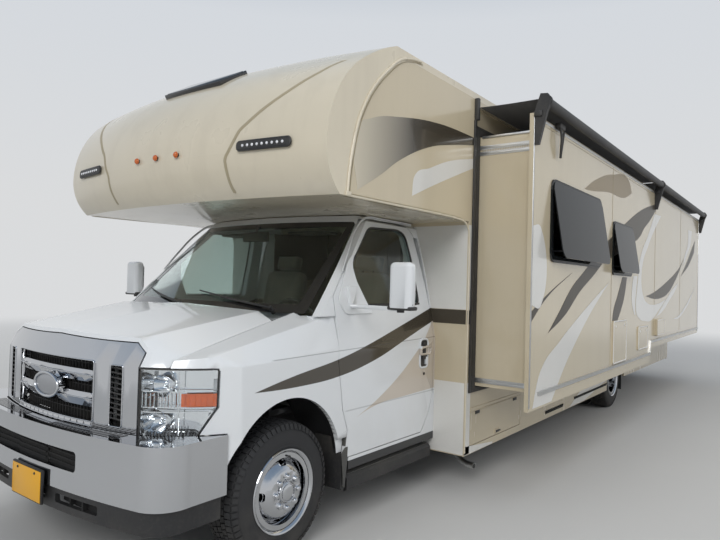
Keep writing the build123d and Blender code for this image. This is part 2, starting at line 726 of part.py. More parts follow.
with BuildPart() as grille:
    with BuildSketch(across(-800)) as face:
        with Locations((0, (grille_bottom + 1250) / 2)):
            Rectangle(2 * grille_half, 1250 - grille_bottom)
        with Locations((0, (opening_z[0] + opening_z[1]) / 2)):
            RectangleRounded(2 * opening_half, opening_z[1] - opening_z[0], 12, mode=Mode.SUBTRACT)
        for side in (-1, 1):
            with Locations((side * (vent_x[0] + vent_x[1]) / 2, (vent_z[0] + vent_z[1]) / 2)):
                RectangleRounded(vent_x[1] - vent_x[0], vent_z[1] - vent_z[0], 10, mode=Mode.SUBTRACT)
    extrude(amount=-330)
    add(nose_shell.part, mode=Mode.INTERSECT)
    add(nose_form.part.moved(Location((0, 0, -hood_gauge - 5))), mode=Mode.INTERSECT)
    sweep_half = degrees(asin((opening_half + 8) / nose_bow))
    start = radians(sweep_half)
    turned_plane = Plane(origin=(0, bow_centre, 0), x_dir=(-sin(start), -cos(start), 0),
                         z_dir=(-cos(start), sin(start), 0))
    with BuildSketch(turned_plane) as bars:
        for low, high in bar_rows:
            with BuildLine():
                Polyline((nose_bow - 1, low + 0.62 * (high - low)), (nose_bow - 12, high),
                         (nose_bow - 40, high),
                         (nose_bow - 40, low), (nose_bow - 21, low), close=True)
            make_face()
    revolve(bars.sketch, axis=Axis((0, bow_centre, 0), (0, 0, 1)), revolution_arc=2 * sweep_half)
    with BuildSketch(across(nose_front - 12)):
        with Locations((0, 911)):
            Ellipse(122, 60)
    extrude(amount=-40)
    for side in (-1, 1):
        for z in (800, 1000):
            block(sorted((side * 600, side * 655)), (-700, panel_y - seat_gap), (z, z + 36))

# Head lamps beside the grille
with BuildPart() as headlights:
    extrude(lamp_outline(0), amount=-(panel_y - seat_gap + 800))
    add(nose_plan.part.moved(Location((0, 3, 0))), mode=Mode.INTERSECT)
    mirror(about=Plane.YZ)


def bumper_plan(inset, end_y, corner_x):
    """Plan outline of the bumper's outside, moved in by inset."""
    half = 850 - inset
    bow = half**2 / (2 * bumper_bow)
    front = bumper_front + inset
    with BuildLine() as edge:
        ThreePointArc((-half, front + bow), (0, front), (half, front + bow))
        ThreePointArc((half, front + bow), (half + (corner_x - inset - half) * 0.72, front + bow + 55),
                      (corner_x - inset, -610))
        Polyline((corner_x - inset, -610), (corner_x - inset, end_y), (-(corner_x - inset), end_y),
                 (-(corner_x - inset), -610))
        ThreePointArc((-(corner_x - inset), -610),
                      (-half - (corner_x - inset - half) * 0.72, front + bow + 55),
                      (-half, front + bow))
    make_face(edge.edges())


# Front bumper: wrap-round chrome shell with a cooling slot and a shelf back to the grille, and the
# black valance below it
with BuildPart(mode=Mode.PRIVATE) as bumper_shelf:
    with BuildSketch(level(bumper_top - 12)) as shelf:
        bumper_plan(bumper_gauge - 1, bumper_end, 985)
    extrude(shelf.sketch, amount=12)
    add(nose_plan.part.moved(Location((0, -8, 0))), mode=Mode.SUBTRACT)

with BuildPart() as front_bumper:
    with BuildSketch(level(bumper_bottom)):
        bumper_plan(0, bumper_end, 985)
    extrude(amount=bumper_top - bumper_bottom)
    with BuildSketch(level(bumper_bottom - 1)):
        bumper_plan(bumper_gauge, bumper_end + 1, 985)
    extrude(amount=bumper_top - bumper_bottom + 2, mode=Mode.SUBTRACT)
    with BuildSketch(across(-900)):
        with Locations((0, 597)):
            RectangleRounded(880, 98, 20)
    extrude(amount=-90, mode=Mode.SUBTRACT)
    add(bumper_shelf.part)

with BuildPart() as bumper_valance:
    with BuildSketch(level(335)):
        bumper_plan(18, bumper_end - 20, 985)
    extrude(amount=bumper_bottom - 335)
    with BuildSketch(level(334)):
        bumper_plan(18 + 25, bumper_end - 19, 985)
    extrude(amount=bumper_bottom - 333, mode=Mode.SUBTRACT)
    with BuildSketch(across(-900)):
        with GridLocations(420, 1, 3, 1):
            with Locations((0, 392)):
                RectangleRounded(330, 44, 12)
    extrude(amount=-120, mode=Mode.SUBTRACT)

# Cab doors: hollow leaves with a window cut through, their glass, and mirrors on long arms
with BuildPart() as cab_door_left:
    with BuildSketch(across(380)):
        cab_section()
    extrude(amount=-(cab_rear - 380))
    with BuildSketch(across(370)) as inside:
        cab_section()
        offset(amount=-door_gauge, mode=Mode.REPLACE)
    extrude(amount=-(cab_rear - 370), mode=Mode.SUBTRACT)
    screen_solid(22, Mode.INTERSECT)
    outline_slab(door_outline, 0, (600, 1100), 12, mode=Mode.INTERSECT)
    outline_slab(window_outline, 0, (600, 1100), 30, mode=Mode.SUBTRACT)
    block((600, cab_roof_half - 90), (300, 1600), (cab_roof - 80, cab_roof), mode=Mode.SUBTRACT)
    rounded_window((1330, 1480), (985, 1050), (cab_half - 1, cab_half + 22), 20)
    rounded_window((1345, 1465), (1000, 1035), (cab_half + 8, cab_half + 23), 12, mode=Mode.SUBTRACT)

with BuildPart() as door_glass_left:
    with BuildSketch(across(380)) as outer_face:
        cab_section()
        offset(amount=-12, mode=Mode.REPLACE)
    extrude(amount=-(cab_rear - 380))
    with BuildSketch(across(370)) as inner_face:
        cab_section()
        offset(amount=-12 - glass_gauge, mode=Mode.REPLACE)
    extrude(amount=-(cab_rear - 370), mode=Mode.SUBTRACT)
    outline_slab(window_outline, 0, (600, 1100), 30, mode=Mode.INTERSECT)

mirror_y = 565
arm_y = 570
with BuildPart() as mirror_left:
    block((900, 962), (555, 640), (1332, 1470))
    with BuildSketch(level(1352)):
        with Locations((1345, mirror_y)):
            RectangleRounded(150, 86, 34)
    extrude(amount=266)
    fillet(mirror_left.edges().group_by(Axis.Z)[-1], 30)
    block((900, 1330), (arm_y, arm_y + 28), (1333, 1358))
    with BuildSketch(across(300)):
        cab_section()
    extrude(amount=-600, mode=Mode.SUBTRACT)

# Cab fittings seen through the glass
dash_half = 795
with BuildPart() as dashboard:
    with BuildSketch(mid_plane(-dash_half)):
        with BuildLine():
            Polyline((275 + seat_gap, 900), (560, 900), (640, 980), (600, 1180), (470, 1262), (310, 1290),
                     (275 + seat_gap, 1290), close=True)
        make_face()
    extrude(amount=2 * dash_half)
    wheel_hub = Plane(origin=(400, 600, 1120), z_dir=(0, 0.86, 0.5))
    with BuildSketch(wheel_hub):
        Circle(28)
    extrude(amount=150)
    with BuildSketch(wheel_hub.offset(140)):
        Circle(200)
        Circle(176, mode=Mode.SUBTRACT)
        Rectangle(370, 34)
        with Locations((0, -90)):
            Rectangle(34, 180)
        Circle(62)
    extrude(amount=22)

with BuildPart() as seats:
    for x in (-430, 430):
        with BuildSketch(mid_plane(x - 235)) as cushion:
            with BuildLine():
                Polyline((900, 960), (1330, 930), (1400, 1000), (1475, 1560), (1440, 1680), (1380, 1690),
                         (1350, 1560), (1265, 1100), (920, 1110), close=True)
            make_face()
            fillet(cushion.vertices(), 28)
        extrude(amount=470)
        block((x - 200, x + 200), (950, 1330), (cab_floor, 945))

# Running boards below the doors, carried from the rails
board_top = 325
board_half = 1005
with BuildPart() as running_boards:
    with BuildSketch(across(530)) as tread:
        with BuildLine():
            Polyline((800, board_top), (board_half - 20, board_top), (board_half, board_top - 20),
                     (board_half, 240), (board_half - 25, 225), (board_half - 25, 285), (800, 285),
                     close=True)
        make_face()
    extrude(amount=-(1520 - 530))
    for y in (620, 1400):
        block((frame_half, 830), (y, y + 40), (262, 284.5))
        block((frame_half, frame_half + 40), (y, y + 40), (262, rail_bottom + 60))
        block((800, 840), (y, y + 40), (262, 300))
    mirror(about=Plane.YZ)

with BuildPart() as mud_flaps:
    block((785, 995), (478, 486), (250, 465))
    block((785, 945), (478, 486), (464, 555))
    block((560, 800), (478, 486), (400, 430))
    block((frame_half + seat_gap, 580), (478, 486), (400, 560))
    block((700, dual_face - 5), (well_rear + 30, well_rear + 38), (170, 630))
    block((frame_half, dual_face - 5), (well_rear + 22, well_rear + 62), (605, frame_top))
    mirror(about=Plane.YZ)

# Coach floor with boxes over the rear wheels and rails that carry the slide-out
slide_rails = ((coach_front + 340, box_bottom), (3500, box_bottom), (well_front - 150, box_bottom),
               (well_rear + 120, box_rear_bottom), (coach_rear - 370, box_rear_bottom))
house_front = wheelbase - well_flat
house_rear = wheelbase + well_flat
house_inner = 690
with BuildPart() as coach_floor:
    block((-coach_half + wall, coach_half - wall), (coach_front + wall, coach_rear - wall),
          (floor_bottom, floor_top))
    for side in (-1, 1):
        block(sorted((side * house_inner, side * (coach_half - wall))), (house_front, house_rear),
              (floor_bottom, well_top + wheelhouse_gauge))
        block(sorted((side * (house_inner + wheelhouse_gauge), side * coach_half)),
              (house_front + wheelhouse_gauge, house_rear - wheelhouse_gauge),
              (floor_bottom - 1, well_top), mode=Mode.SUBTRACT)
    for y, top in slide_rails:
        block((box_inner - slide_travel - 30, coach_half - wall), (y, y + 50),
              (floor_top - 1, top - seat_gap))


def side_outline():
    """Outline of a side wall: the coach side with the over-cab part reaching forward to the bead."""
    top = roof_edge - roof_gauge
    with BuildLine() as edge:
        Polyline((coach_front, cap_under), bead_points[0])
        ThreePointArc(bead_points[0], (143, 2090), bead_points[1])
        ThreePointArc(bead_points[1], (240, 2425), bead_points[2])
        ThreePointArc(bead_points[2], (540, 2772), bead_points[3])
        Polyline(bead_points[3], (coach_rear, top), (coach_rear, floor_bottom), (coach_front, floor_bottom),
                 (coach_front, cap_under))
    make_face(edge.edges())


well_points = ((well_front, 200), (well_front, 620), (house_front, well_top), (house_rear, well_top),
               (well_rear, 620), (well_rear, 200))
opening_front = box_front - 35
opening_rear = box_rear + 35
opening_top = box_top + 25
opening_step = slide_step_y + 40
with BuildPart() as left_wall:
    with BuildSketch(mid_plane(coach_half - wall)):
        side_outline()
    extrude(amount=wall)
    side_slab(((opening_front, floor_top), (opening_step, floor_top), (opening_step, box_rear_bottom - 25),
               (opening_rear, box_rear_bottom - 25), (opening_rear, opening_top),
               (opening_front, opening_top)),
              (coach_half - wall - 1, coach_half + 1), mode=Mode.SUBTRACT)
    side_slab(well_points, (coach_half - wall - 1, coach_half + 1), mode=Mode.SUBTRACT)
    block((coach_half, coach_half + 14), (slide_front, slide_rear), (2790, 2812))

right_windows = (            # y from, y to, z from, z to
    (1950, 2950, 1500, 2150),
    (entry_front + entry_width + 290, 5500, 1500, 2150),
    (6300, 7100, 1750, 2150),
    (7750, 8700, 1500, 2050),
)
with BuildPart() as right_wall:
    with BuildSketch(mid_plane(-coach_half)):
        side_outline()
    extrude(amount=wall)
    for y0, y1, z0, z1 in right_windows:
        rounded_window((y0, y1), (z0, z1), (-coach_half - 1, -coach_half + wall + 1), 60, mode=Mode.SUBTRACT)
    rounded_window((entry_front, entry_front + entry_width), (entry_bottom - 200, entry_top),
                   (-coach_half - 1, -coach_half + wall + 1), 60, mode=Mode.SUBTRACT)
    side_slab(well_points, (-coach_half - 1, -coach_half + wall + 1), mode=Mode.SUBTRACT)
    # the entry door's long hinge
    with BuildSketch(level(floor_bottom)):
        with Locations((-coach_half - seat_gap - entry_pin, entry_front + 9)):
            Circle(entry_pin)
        with Locations((-coach_half - 2.5, entry_front - 9)):
            Rectangle(5, 26)
    extrude(amount=entry_top - 60 - floor_bottom)

# Front wall: two posts beside the cab joined under the floor's edge
with BuildPart() as front_wall:
    block((-coach_half + wall, coach_half - wall), (coach_front, coach_front + wall),
          (floor_bottom, cap_under))
    with BuildSketch(across(coach_front - 1)) as gateway:
        cab_section()
        offset(amount=-cab_gauge, mode=Mode.REPLACE)
        with Locations((0, floor_top + 1000)):
            Rectangle(2 * cab_half, 2000, mode=Mode.INTERSECT)
    extrude(gateway.sketch, amount=-(wall + 2), mode=Mode.SUBTRACT)
    for side in (-1, 1):
        block(sorted((side * (cab_half - 30), side * (coach_half - skirt_gauge))),
              (coach_front, coach_front + wall),
              (skirt_bottom, floor_bottom))

rear_window = ((-520, 520), (1650, 2150))
with BuildPart() as rear_wall:
    block((-coach_half + wall, coach_half - wall), (coach_rear - wall, coach_rear),
          (floor_bottom, roof_edge - roof_gauge))
    with BuildSketch(across(coach_rear - wall - 1)):
        with Locations((0, 1900)):
            RectangleRounded(1040, 500, 60)
    extrude(amount=-(wall + 2), mode=Mode.SUBTRACT)


def roof_arc_face(top_shift, gauge):
    """Crowned band across the roof."""
    rim_z = roof_edge - top_shift
    crown = roof_crown - top_shift
    with BuildLine() as edge:
        ThreePointArc((-coach_half, rim_z), (0, crown), (coach_half, rim_z))
        Line((coach_half, rim_z), (coach_half, rim_z - gauge))
        ThreePointArc((coach_half, rim_z - gauge), (0, crown - gauge), (-coach_half, rim_z - gauge))
        Line((-coach_half, rim_z - gauge), (-coach_half, rim_z))
    make_face(edge.edges())


with BuildPart() as coach_roof:
    with BuildSketch(across(cap_rear)):
        roof_arc_face(0, roof_gauge)
    extrude(amount=-(coach_rear - cap_rear))

# Over-cab cap: a profile turned about a far upright axis, cut to the coach's width and crown
cap_axis_y = nose_y + cap_radius
cap_half_angle = 20


def cap_solid(inset, rear, mode):
    """Turned body of the cap with its outside moved in by inset."""
    turned = Plane(origin=(0, cap_axis_y, 0),
                   x_dir=(-sin(radians(cap_half_angle)), -cos(radians(cap_half_angle)), 0),
                   z_dir=(-cos(radians(cap_half_angle)), sin(radians(cap_half_angle)), 0))

    def spot(y, z):
        return (cap_axis_y - y, z)

    with BuildSketch(turned) as profile:
        with BuildLine():
            lower = TangentArc(spot(nose_y + inset, nose_z), spot(cap_lip_y + inset, cap_under + inset),
                               tangent=(0, -1))
            upper = TangentArc(spot(nose_y + inset, nose_z), spot(brow_y + inset * 0.8, brow_z - inset * 0.6),
                               tangent=(0, 1))
            crown = TangentArc(spot(brow_y + inset * 0.8, brow_z - inset * 0.6),
                               spot(cap_rear, roof_crown - inset),
                               tangent=upper % 1)
            Polyline(spot(cap_rear, roof_crown - inset), spot(rear, roof_crown - inset),
                     spot(rear, cap_under + inset),
                     spot(cap_lip_y + inset, cap_under + inset))
        make_face()
    revolve(profile.sketch, axis=Axis((0, cap_axis_y, 0), (0, 0, 1)), revolution_arc=2 * cap_half_angle,
            mode=mode)


with BuildPart(mode=Mode.PRIVATE) as cap_outside:
    cap_solid(0, 1700, Mode.ADD)
    with BuildSketch(across(-500)):
        with BuildLine():
            Polyline((coach_half, roof_edge), (coach_half, cap_under - 5), (-coach_half, cap_under - 5),
                     (-coach_half, roof_edge))
            ThreePointArc((-coach_half, roof_edge), (0, roof_crown), (coach_half, roof_edge))
        make_face()
    extrude(amount=-2500, mode=Mode.INTERSECT)

with BuildPart(mode=Mode.PRIVATE) as cap_inside:
    cap_solid(cap_gauge, 1800, Mode.ADD)
    with BuildSketch(across(-500)):
        with BuildLine():
            inner_half = coach_half - cap_gauge
            Polyline((inner_half, roof_edge - roof_gauge), (inner_half, cap_under), (-inner_half, cap_under),
                     (-inner_half, roof_edge - roof_gauge))
            ThreePointArc((-inner_half, roof_edge - roof_gauge), (0, roof_crown - roof_gauge),
                          (inner_half, roof_edge - roof_gauge))
        make_face()
    extrude(amount=-2500, mode=Mode.INTERSECT)

with BuildPart() as overcab:
    add(cap_outside.part)
    add(cap_inside.part, mode=Mode.SUBTRACT)
    block((-2000, 2000), (cap_rear, 2500), (cap_under + cap_gauge, 3100), mode=Mode.SUBTRACT)
    block((-2000, 2000), (coach_front + wall, 2500), (1800, 3100), mode=Mode.SUBTRACT)
    for x in ((coach_half - wall, coach_half + 5), (-coach_half - 5, -coach_half + wall)):
        with BuildSketch(mid_plane(x[0])):
            side_outline()
        extrude(amount=x[1] - x[0], mode=Mode.SUBTRACT)
    block((-700, 700), (1150, coach_front + wall + 1), (cap_under - 1, cap_under + cap_gauge + 1),
          mode=Mode.SUBTRACT)

# Skirts below the floor, with luggage door openings and the rear wheel wells
hinge_radius = 4
hinge_x = coach_half + seat_gap + hinge_radius
hinge_z = luggage_left[1][1] - 6
slots_left = ((3200, 3700, 318), (4050, 5200, 334))
with BuildPart() as skirts:
    for x in ((coach_half - skirt_gauge, coach_half), (-coach_half, -coach_half + skirt_gauge)):
        side_slab(((coach_front, skirt_bottom), (well_front, skirt_bottom), (well_front, 620),
                   (well_front + 20, floor_bottom), (coach_front, floor_bottom)), x)
        side_slab(((well_rear, skirt_rear_bottom), (coach_rear, skirt_rear_bottom),
                   (coach_rear, floor_bottom),
                   (well_rear - 20, floor_bottom), (well_rear, 620)), x)
    rounded_window(*luggage_left, (coach_half - skirt_gauge - 1, coach_half + 1), 16, mode=Mode.SUBTRACT)
    rounded_window(*luggage_right, (-coach_half - 1, -coach_half + skirt_gauge + 1), 16, mode=Mode.SUBTRACT)
    for y0, y1, z in slots_left:
        block((coach_half - skirt_gauge - 1, coach_half + 1), (y0, y1), (z, z + 24), mode=Mode.SUBTRACT)
    rounded_window((entry_front, entry_front + entry_width), (entry_bottom, entry_top),
                   (-coach_half - 1, -coach_half + skirt_gauge + 1), 60, mode=Mode.SUBTRACT)
    for side, bay in ((1, luggage_left), (-1, luggage_right)):
        tube_y = (bay[0][0] + 8, bay[0][1] - 8)
        with BuildSketch(across(tube_y[0])):
            with Locations((side * hinge_x, hinge_z)):
                Circle(hinge_radius)
            with Locations((side * (coach_half + 2), hinge_z + 14)):
                Rectangle(4, 24)
            with Locations((side * (coach_half + 3), hinge_z + 4)):
                Rectangle(2.6, 6)
        extrude(amount=-(tube_y[1] - tube_y[0]))

luggage_gap = 5


def inside(limits):
    """A pair of limits moved in by the luggage doors' gap."""
    return limits[0] + luggage_gap, limits[1] - luggage_gap


def latch_span(bay):
    """The two ends of the latch at the middle of a luggage bay."""
    middle = (bay[0] + bay[1]) / 2
    return middle - 45, middle + 45


with BuildPart() as luggage_door_left:
    rounded_window(inside(luggage_left[0]), inside(luggage_left[1]), (coach_half - skirt_gauge, coach_half),
                   12)
    rounded_window(latch_span(luggage_left[0]), (340, 372), (coach_half - 1, coach_half + 8), 8)

with BuildPart() as luggage_door_right:
    rounded_window(inside(luggage_right[0]), inside(luggage_right[1]),
                   (-coach_half, -coach_half + skirt_gauge), 12)
    rounded_window(latch_span(luggage_right[0]), (340, 372), (-coach_half - 8, -coach_half + 1), 8)

# Entry door: leaf with a proud rim, window and handle
with BuildPart() as entry_door:
    rounded_window((entry_front + entry_gap, entry_front + entry_width - entry_gap),
                   (entry_bottom + entry_gap, entry_top - entry_gap), (-coach_half, -coach_half + wall - 6),
                   56)
    rounded_window((entry_front + 150, entry_front + 560), (1500, 2150), (-coach_half - 9, -coach_half + 1),
                   50)
    rounded_window((entry_front + 610, entry_front + 670), (1250, 1400), (-coach_half - 16, -coach_half + 1),
                   14)

# Fixed windows of the coach: dark panes in black frames
with BuildPart() as windows:
    for y0, y1, z0, z1 in right_windows:
        rounded_window((y0, y1), (z0, z1), (-coach_half, -coach_half + 20), 60)
        rounded_window((y0 - 24, y1 + 24), (z0 - 24, z1 + 24), (-coach_half - 12, -coach_half), 80)
    with BuildSketch(across(coach_rear - 20)):
        with Locations((0, 1900)):
            RectangleRounded(1040, 500, 60)
    extrude(amount=-20)
    with BuildSketch(across(coach_rear)):
        with Locations((0, 1900)):
            RectangleRounded(1088, 548, 80)
    extrude(amount=-12)

# Lamps: two light bars and three small lamps on the cap, clearance and tail lamps at the back
light_bar_x = 880
light_bar_z = 2225


def nose_at(x):
    """Outside of the cap's nose at its foremost height."""
    return cap_axis_y - sqrt(cap_radius**2 - x**2)


with BuildPart() as lamps:
    for side in (-1, 1):
        lean = degrees(asin(light_bar_x / cap_radius)) * side
        with Locations(Location((side * light_bar_x, nose_at(light_bar_x) - 4, light_bar_z), (0, 0, lean))):
            Box(250, 26, 44)
    for x in (-200, 0, 200):
        with Locations((x, nose_at(x) - 2, light_bar_z)):
            Cylinder(14, 22, rotation=(90, 0, 0))
    add(overcab.part, mode=Mode.SUBTRACT)
    for side in (-1, 1):
        block(sorted((side * 1050, side * 1180)), (coach_rear, coach_rear + 28), (760, 1010))
        block(sorted((side * 1050, side * 1170)), (coach_rear, coach_rear + 22), (2740, 2775))
    for x in (-150, 0, 150):
        block((x - 45, x + 45), (coach_rear, coach_rear + 20), (2800, 2830))


def crown_at(x):
    """Height of the roof at x."""
    rise = roof_crown - roof_edge
    radius = (coach_half**2 + rise**2) / (2 * rise)
    return roof_crown - radius + sqrt(radius**2 - x**2)


# Rear bumper, ladder and roof fittings
with BuildPart() as rear_bumper:
    block((-1150, 1150), (coach_rear + 1, coach_rear + 110), (470, 610))
    block((-hitch_half - 20, hitch_half + 20), (coach_rear, coach_rear + 111), (460, 482), mode=Mode.SUBTRACT)
    fillet(rear_bumper.edges().filter_by(Axis.Z).group_by(Axis.Y)[-1], 40)
    for side in (-1, 1):
        block(sorted((side * (frame_half - 2), side * (frame_half - 60))), (frame_rear, coach_rear + 20),
              (480, 600))

ladder_x = -800
with BuildPart() as ladder:
    for x in (ladder_x - 190, ladder_x + 190):
        with BuildLine() as rail:
            FilletPolyline((x, coach_rear + 100, 760), (x, coach_rear + 100, 3060),
                           (x, coach_rear - 260, 3060),
                           (x, coach_rear - 300, crown_at(x) + 14), radius=70)
        with BuildSketch(Plane(origin=(x, coach_rear + 100, 760), z_dir=(0, 0, 1))):
            Circle(13)
        sweep()
        for z in (800, 1800, 2700):
            block((x - 12, x + 12), (coach_rear, coach_rear + 100), (z, z + 24))
    for step in range(7):
        z = 880 + step * 300
        block((ladder_x - 190, ladder_x + 190), (coach_rear + 90, coach_rear + 116), (z, z + 26))


unit_y = 4900
vents = (                    # x, y, half width, height
    (250, 2500, 200, 120),
    (-300, 7300, 200, 120),
    (500, 6600, 60, 90),
    (-550, 3900, 60, 90),
)
with BuildPart() as roof_unit:
    with BuildSketch(level(crown_at(350) - 2)) as base:
        with Locations((0, unit_y)):
            RectangleRounded(700, 1060, 110)
    extrude(amount=330, taper=14)
    fillet(roof_unit.edges().group_by(Axis.Z)[-1], 40)
    add(coach_roof.part, mode=Mode.SUBTRACT)

with BuildPart() as roof_vents:
    for x, y, half, height in vents:
        foot = crown_at(abs(x) + half)
        block((x - half, x + half), (y - half, y + half), (foot - 12, foot + height))
    with BuildSketch(across(650)):
        with Locations((0, roof_crown - 22)):
            Rectangle(360, 50)
    extrude(amount=-260)
    with Locations(Location((0, 175, 2776), (31, 0, 0))):
        Box(560, 250, 30)
    add(coach_roof.part, mode=Mode.SUBTRACT)
    add(overcab.part, mode=Mode.SUBTRACT)

# Side awning rolled up in its case, with its arms folded against the wall
with BuildPart() as awning:
    with BuildSketch(across(awning_front)) as case:
        with Locations((-coach_half - awning_depth / 2, 2660)):
            RectangleRounded(awning_depth, 130, 45)
    extrude(amount=-(awning_rear - awning_front))
    for y in (awning_front + 20, awning_rear - 70):
        block((-coach_half - 34, -coach_half), (y, y + 50), (1150, 2640))
        block((-coach_half - 62, -coach_half - 34), (y + 8, y + 42), (1180, 2640))

# Slide-out box: floor, roof and two end walls open to the coach, closed by its outer panel
box_outline = ((box_front, box_bottom), (slide_step_y + 10, box_bottom), (slide_step_y + 10, box_rear_bottom),
               (box_rear, box_rear_bottom), (box_rear, box_top), (box_front, box_top))
panel_outline = ((slide_front, slide_bottom), (slide_step_y, slide_bottom),
                 (slide_step_y + 30, slide_rear_bottom),
                 (slide_rear, slide_rear_bottom), (slide_rear, slide_top), (slide_front, slide_top))
slide_windows_at = (         # y from, y to, z from, z to
    (1985, 3240, 1700, 2275),
    (3680, 4440, 1650, 2130),
)
with BuildPart() as slide_box:
    side_slab(box_outline, (box_inner, slide_face - slide_panel + 1))
    with BuildSketch(mid_plane(box_inner - 1)):
        with BuildLine():
            Polyline(*box_outline, close=True)
        make_face()
        offset(amount=-box_gauge, kind=Kind.INTERSECTION, mode=Mode.REPLACE)
    extrude(amount=slide_face - slide_panel - box_inner + 1, mode=Mode.SUBTRACT)
    side_slab(panel_outline, (slide_face - slide_panel, slide_face))
    for y0, y1, z0, z1 in slide_windows_at:
        rounded_window((y0, y1), (z0, z1), (slide_face - slide_panel - 1, slide_face + 1), 70,
                       mode=Mode.SUBTRACT)

# Slide windows: frames with panes hinged at the top and pushed out at the bottom
pane_angle = 9
with BuildPart() as slide_windows:
    for y0, y1, z0, z1 in slide_windows_at:
        with BuildSketch(mid_plane(slide_face - 20)):
            with Locations(((y0 + y1) / 2, (z0 + z1) / 2)):
                RectangleRounded(y1 - y0, z1 - z0, 70)
                RectangleRounded(y1 - y0 - 60, z1 - z0 - 60, 45, mode=Mode.SUBTRACT)
        extrude(amount=20)
        with BuildSketch(mid_plane(slide_face)):
            with Locations(((y0 + y1) / 2, (z0 + z1) / 2)):
                RectangleRounded(y1 - y0 + 40, z1 - z0 + 40, 85)
                RectangleRounded(y1 - y0 - 60, z1 - z0 - 60, 45, mode=Mode.SUBTRACT)
        extrude(amount=12)
        pane_plane = Plane(origin=(slide_face + 6, (y0 + y1) / 2, z1 + 4), x_dir=(0, 1, 0),
                           z_dir=(cos(radians(pane_angle)), 0, sin(radians(pane_angle))))
        with BuildSketch(pane_plane):
            with Locations((0, -(z1 - z0) / 2)):
                RectangleRounded(y1 - y0 + 10, z1 - z0, 75)
        extrude(amount=8)
        for y in (y0 + 90, y1 - 90):
            reach = 6 + tan(radians(pane_angle)) * (z1 - z0 - 56)
            block((slide_face - 19, slide_face + reach), (y - 6, y + 6), (z0 + 60, z0 + 72))
            block((slide_face - 19, slide_face - 8), (y - 6, y + 6), (z0 + 20, z0 + 72))

# Slide hatches: two access doors and a proud cover on the outer panel
hatches = (                  # y from, y to, z from, z to, proud
    (3730, 4240, 770, 1190, 10),
    (4770, 5240, 830, 1090, 10),
    (5660, 6100, 940, 1146, 34),
)
with BuildPart() as slide_hatches:
    for y0, y1, z0, z1, proud in hatches:
        rounded_window((y0, y1), (z0, z1), (slide_face, slide_face + proud), 22)

# Slide trim: ridge along the panel's foot, racks on the end walls
ridge = ((slide_front + 160, 734), (slide_step_y - 12, 734), (slide_step_y + 18, 874), (slide_rear, 874))
rack_rows = ((785, 820), (2452, 2480), (2496, 2524))
with BuildPart() as slide_trim:
    with BuildSketch(mid_plane(slide_face)):
        with BuildLine():
            Polyline(*ridge, *[(y, z + 26) for y, z in ridge[::-1]], close=True)
        make_face()
    extrude(amount=14)
    for z0, z1 in rack_rows:
        block((box_inner + 10, slide_face - slide_panel), (box_front - 5, box_front), (z0, z1))
        if z0 > box_rear_bottom:
            block((box_inner + 10, slide_face - slide_panel), (box_rear, box_rear + 5), (z0, z1))

# Topper over the slide: roller in end brackets, and its fabric from the coach's rail
with BuildPart() as topper_roller:
    with BuildSketch(across(slide_front + 34)):
        with Locations((roller_x, roller_z)):
            Circle(roller_radius)
    extrude(amount=-(slide_rear - slide_front - 20))
    for y in (slide_front + 4, slide_rear + 14, 5550):
        with BuildSketch(across(y)):
            with BuildLine():
                Polyline((slide_face, 2470), (slide_face + 34, 2470), (roller_x + 20, 2700),
                         (roller_x + 46, 2763),
                         (roller_x + 20, 2812), (roller_x - 30, 2818), (slide_face + 6, 2720),
                         (slide_face, 2690), close=True)
            make_face()
        extrude(amount=-30)

fabric_gauge = 4
fabric_z = roller_z + roller_radius + seat_gap
fabric_x = coach_half + 14 + seat_gap
fabric_foot = 2806
with BuildPart() as topper_fabric:
    with BuildSketch(across(slide_front + 60)):
        with BuildLine():
            Polyline((fabric_x, fabric_foot), (roller_x, fabric_z), (roller_x, fabric_z + fabric_gauge),
                     (fabric_x, fabric_foot + fabric_gauge), close=True)
        make_face()
    extrude(amount=-(5540 - slide_front - 60))
    with BuildSketch(across(5590)):
        with BuildLine():
            Polyline((fabric_x, fabric_foot), (roller_x, fabric_z), (roller_x, fabric_z + fabric_gauge),
                     (fabric_x, fabric_foot + fabric_gauge), close=True)
        make_face()
    extrude(amount=-(slide_rear - 5590))

# Seal frame round the slide's opening
with BuildPart() as slide_seal:
    with BuildSketch(mid_plane(coach_half)):
        with BuildLine():
            Polyline((opening_front - 25, floor_top - 30), (opening_step + 25, floor_top - 30),
                     (opening_step + 25, box_rear_bottom - 50), (opening_rear + 15, box_rear_bottom - 50),
                     (opening_rear + 15, opening_top + 25), (opening_front - 25, opening_top + 25),
                     close=True)
        make_face()
        with BuildLine():
            Polyline((box_front - 11, box_bottom - 8), (slide_step_y + 20, box_bottom - 8),
                     (slide_step_y + 20, box_rear_bottom - 8), (box_rear + 11, box_rear_bottom - 8),
                     (box_rear + 11, box_top + 8), (box_front - 11, box_top + 8), close=True)
        make_face(mode=Mode.SUBTRACT)
    extrude(amount=seal_proud)


def mirrored(piece):
    """The same piece on the other side."""
    with BuildPart() as other:
        add(piece.part.mirror(Plane.YZ))
    return other


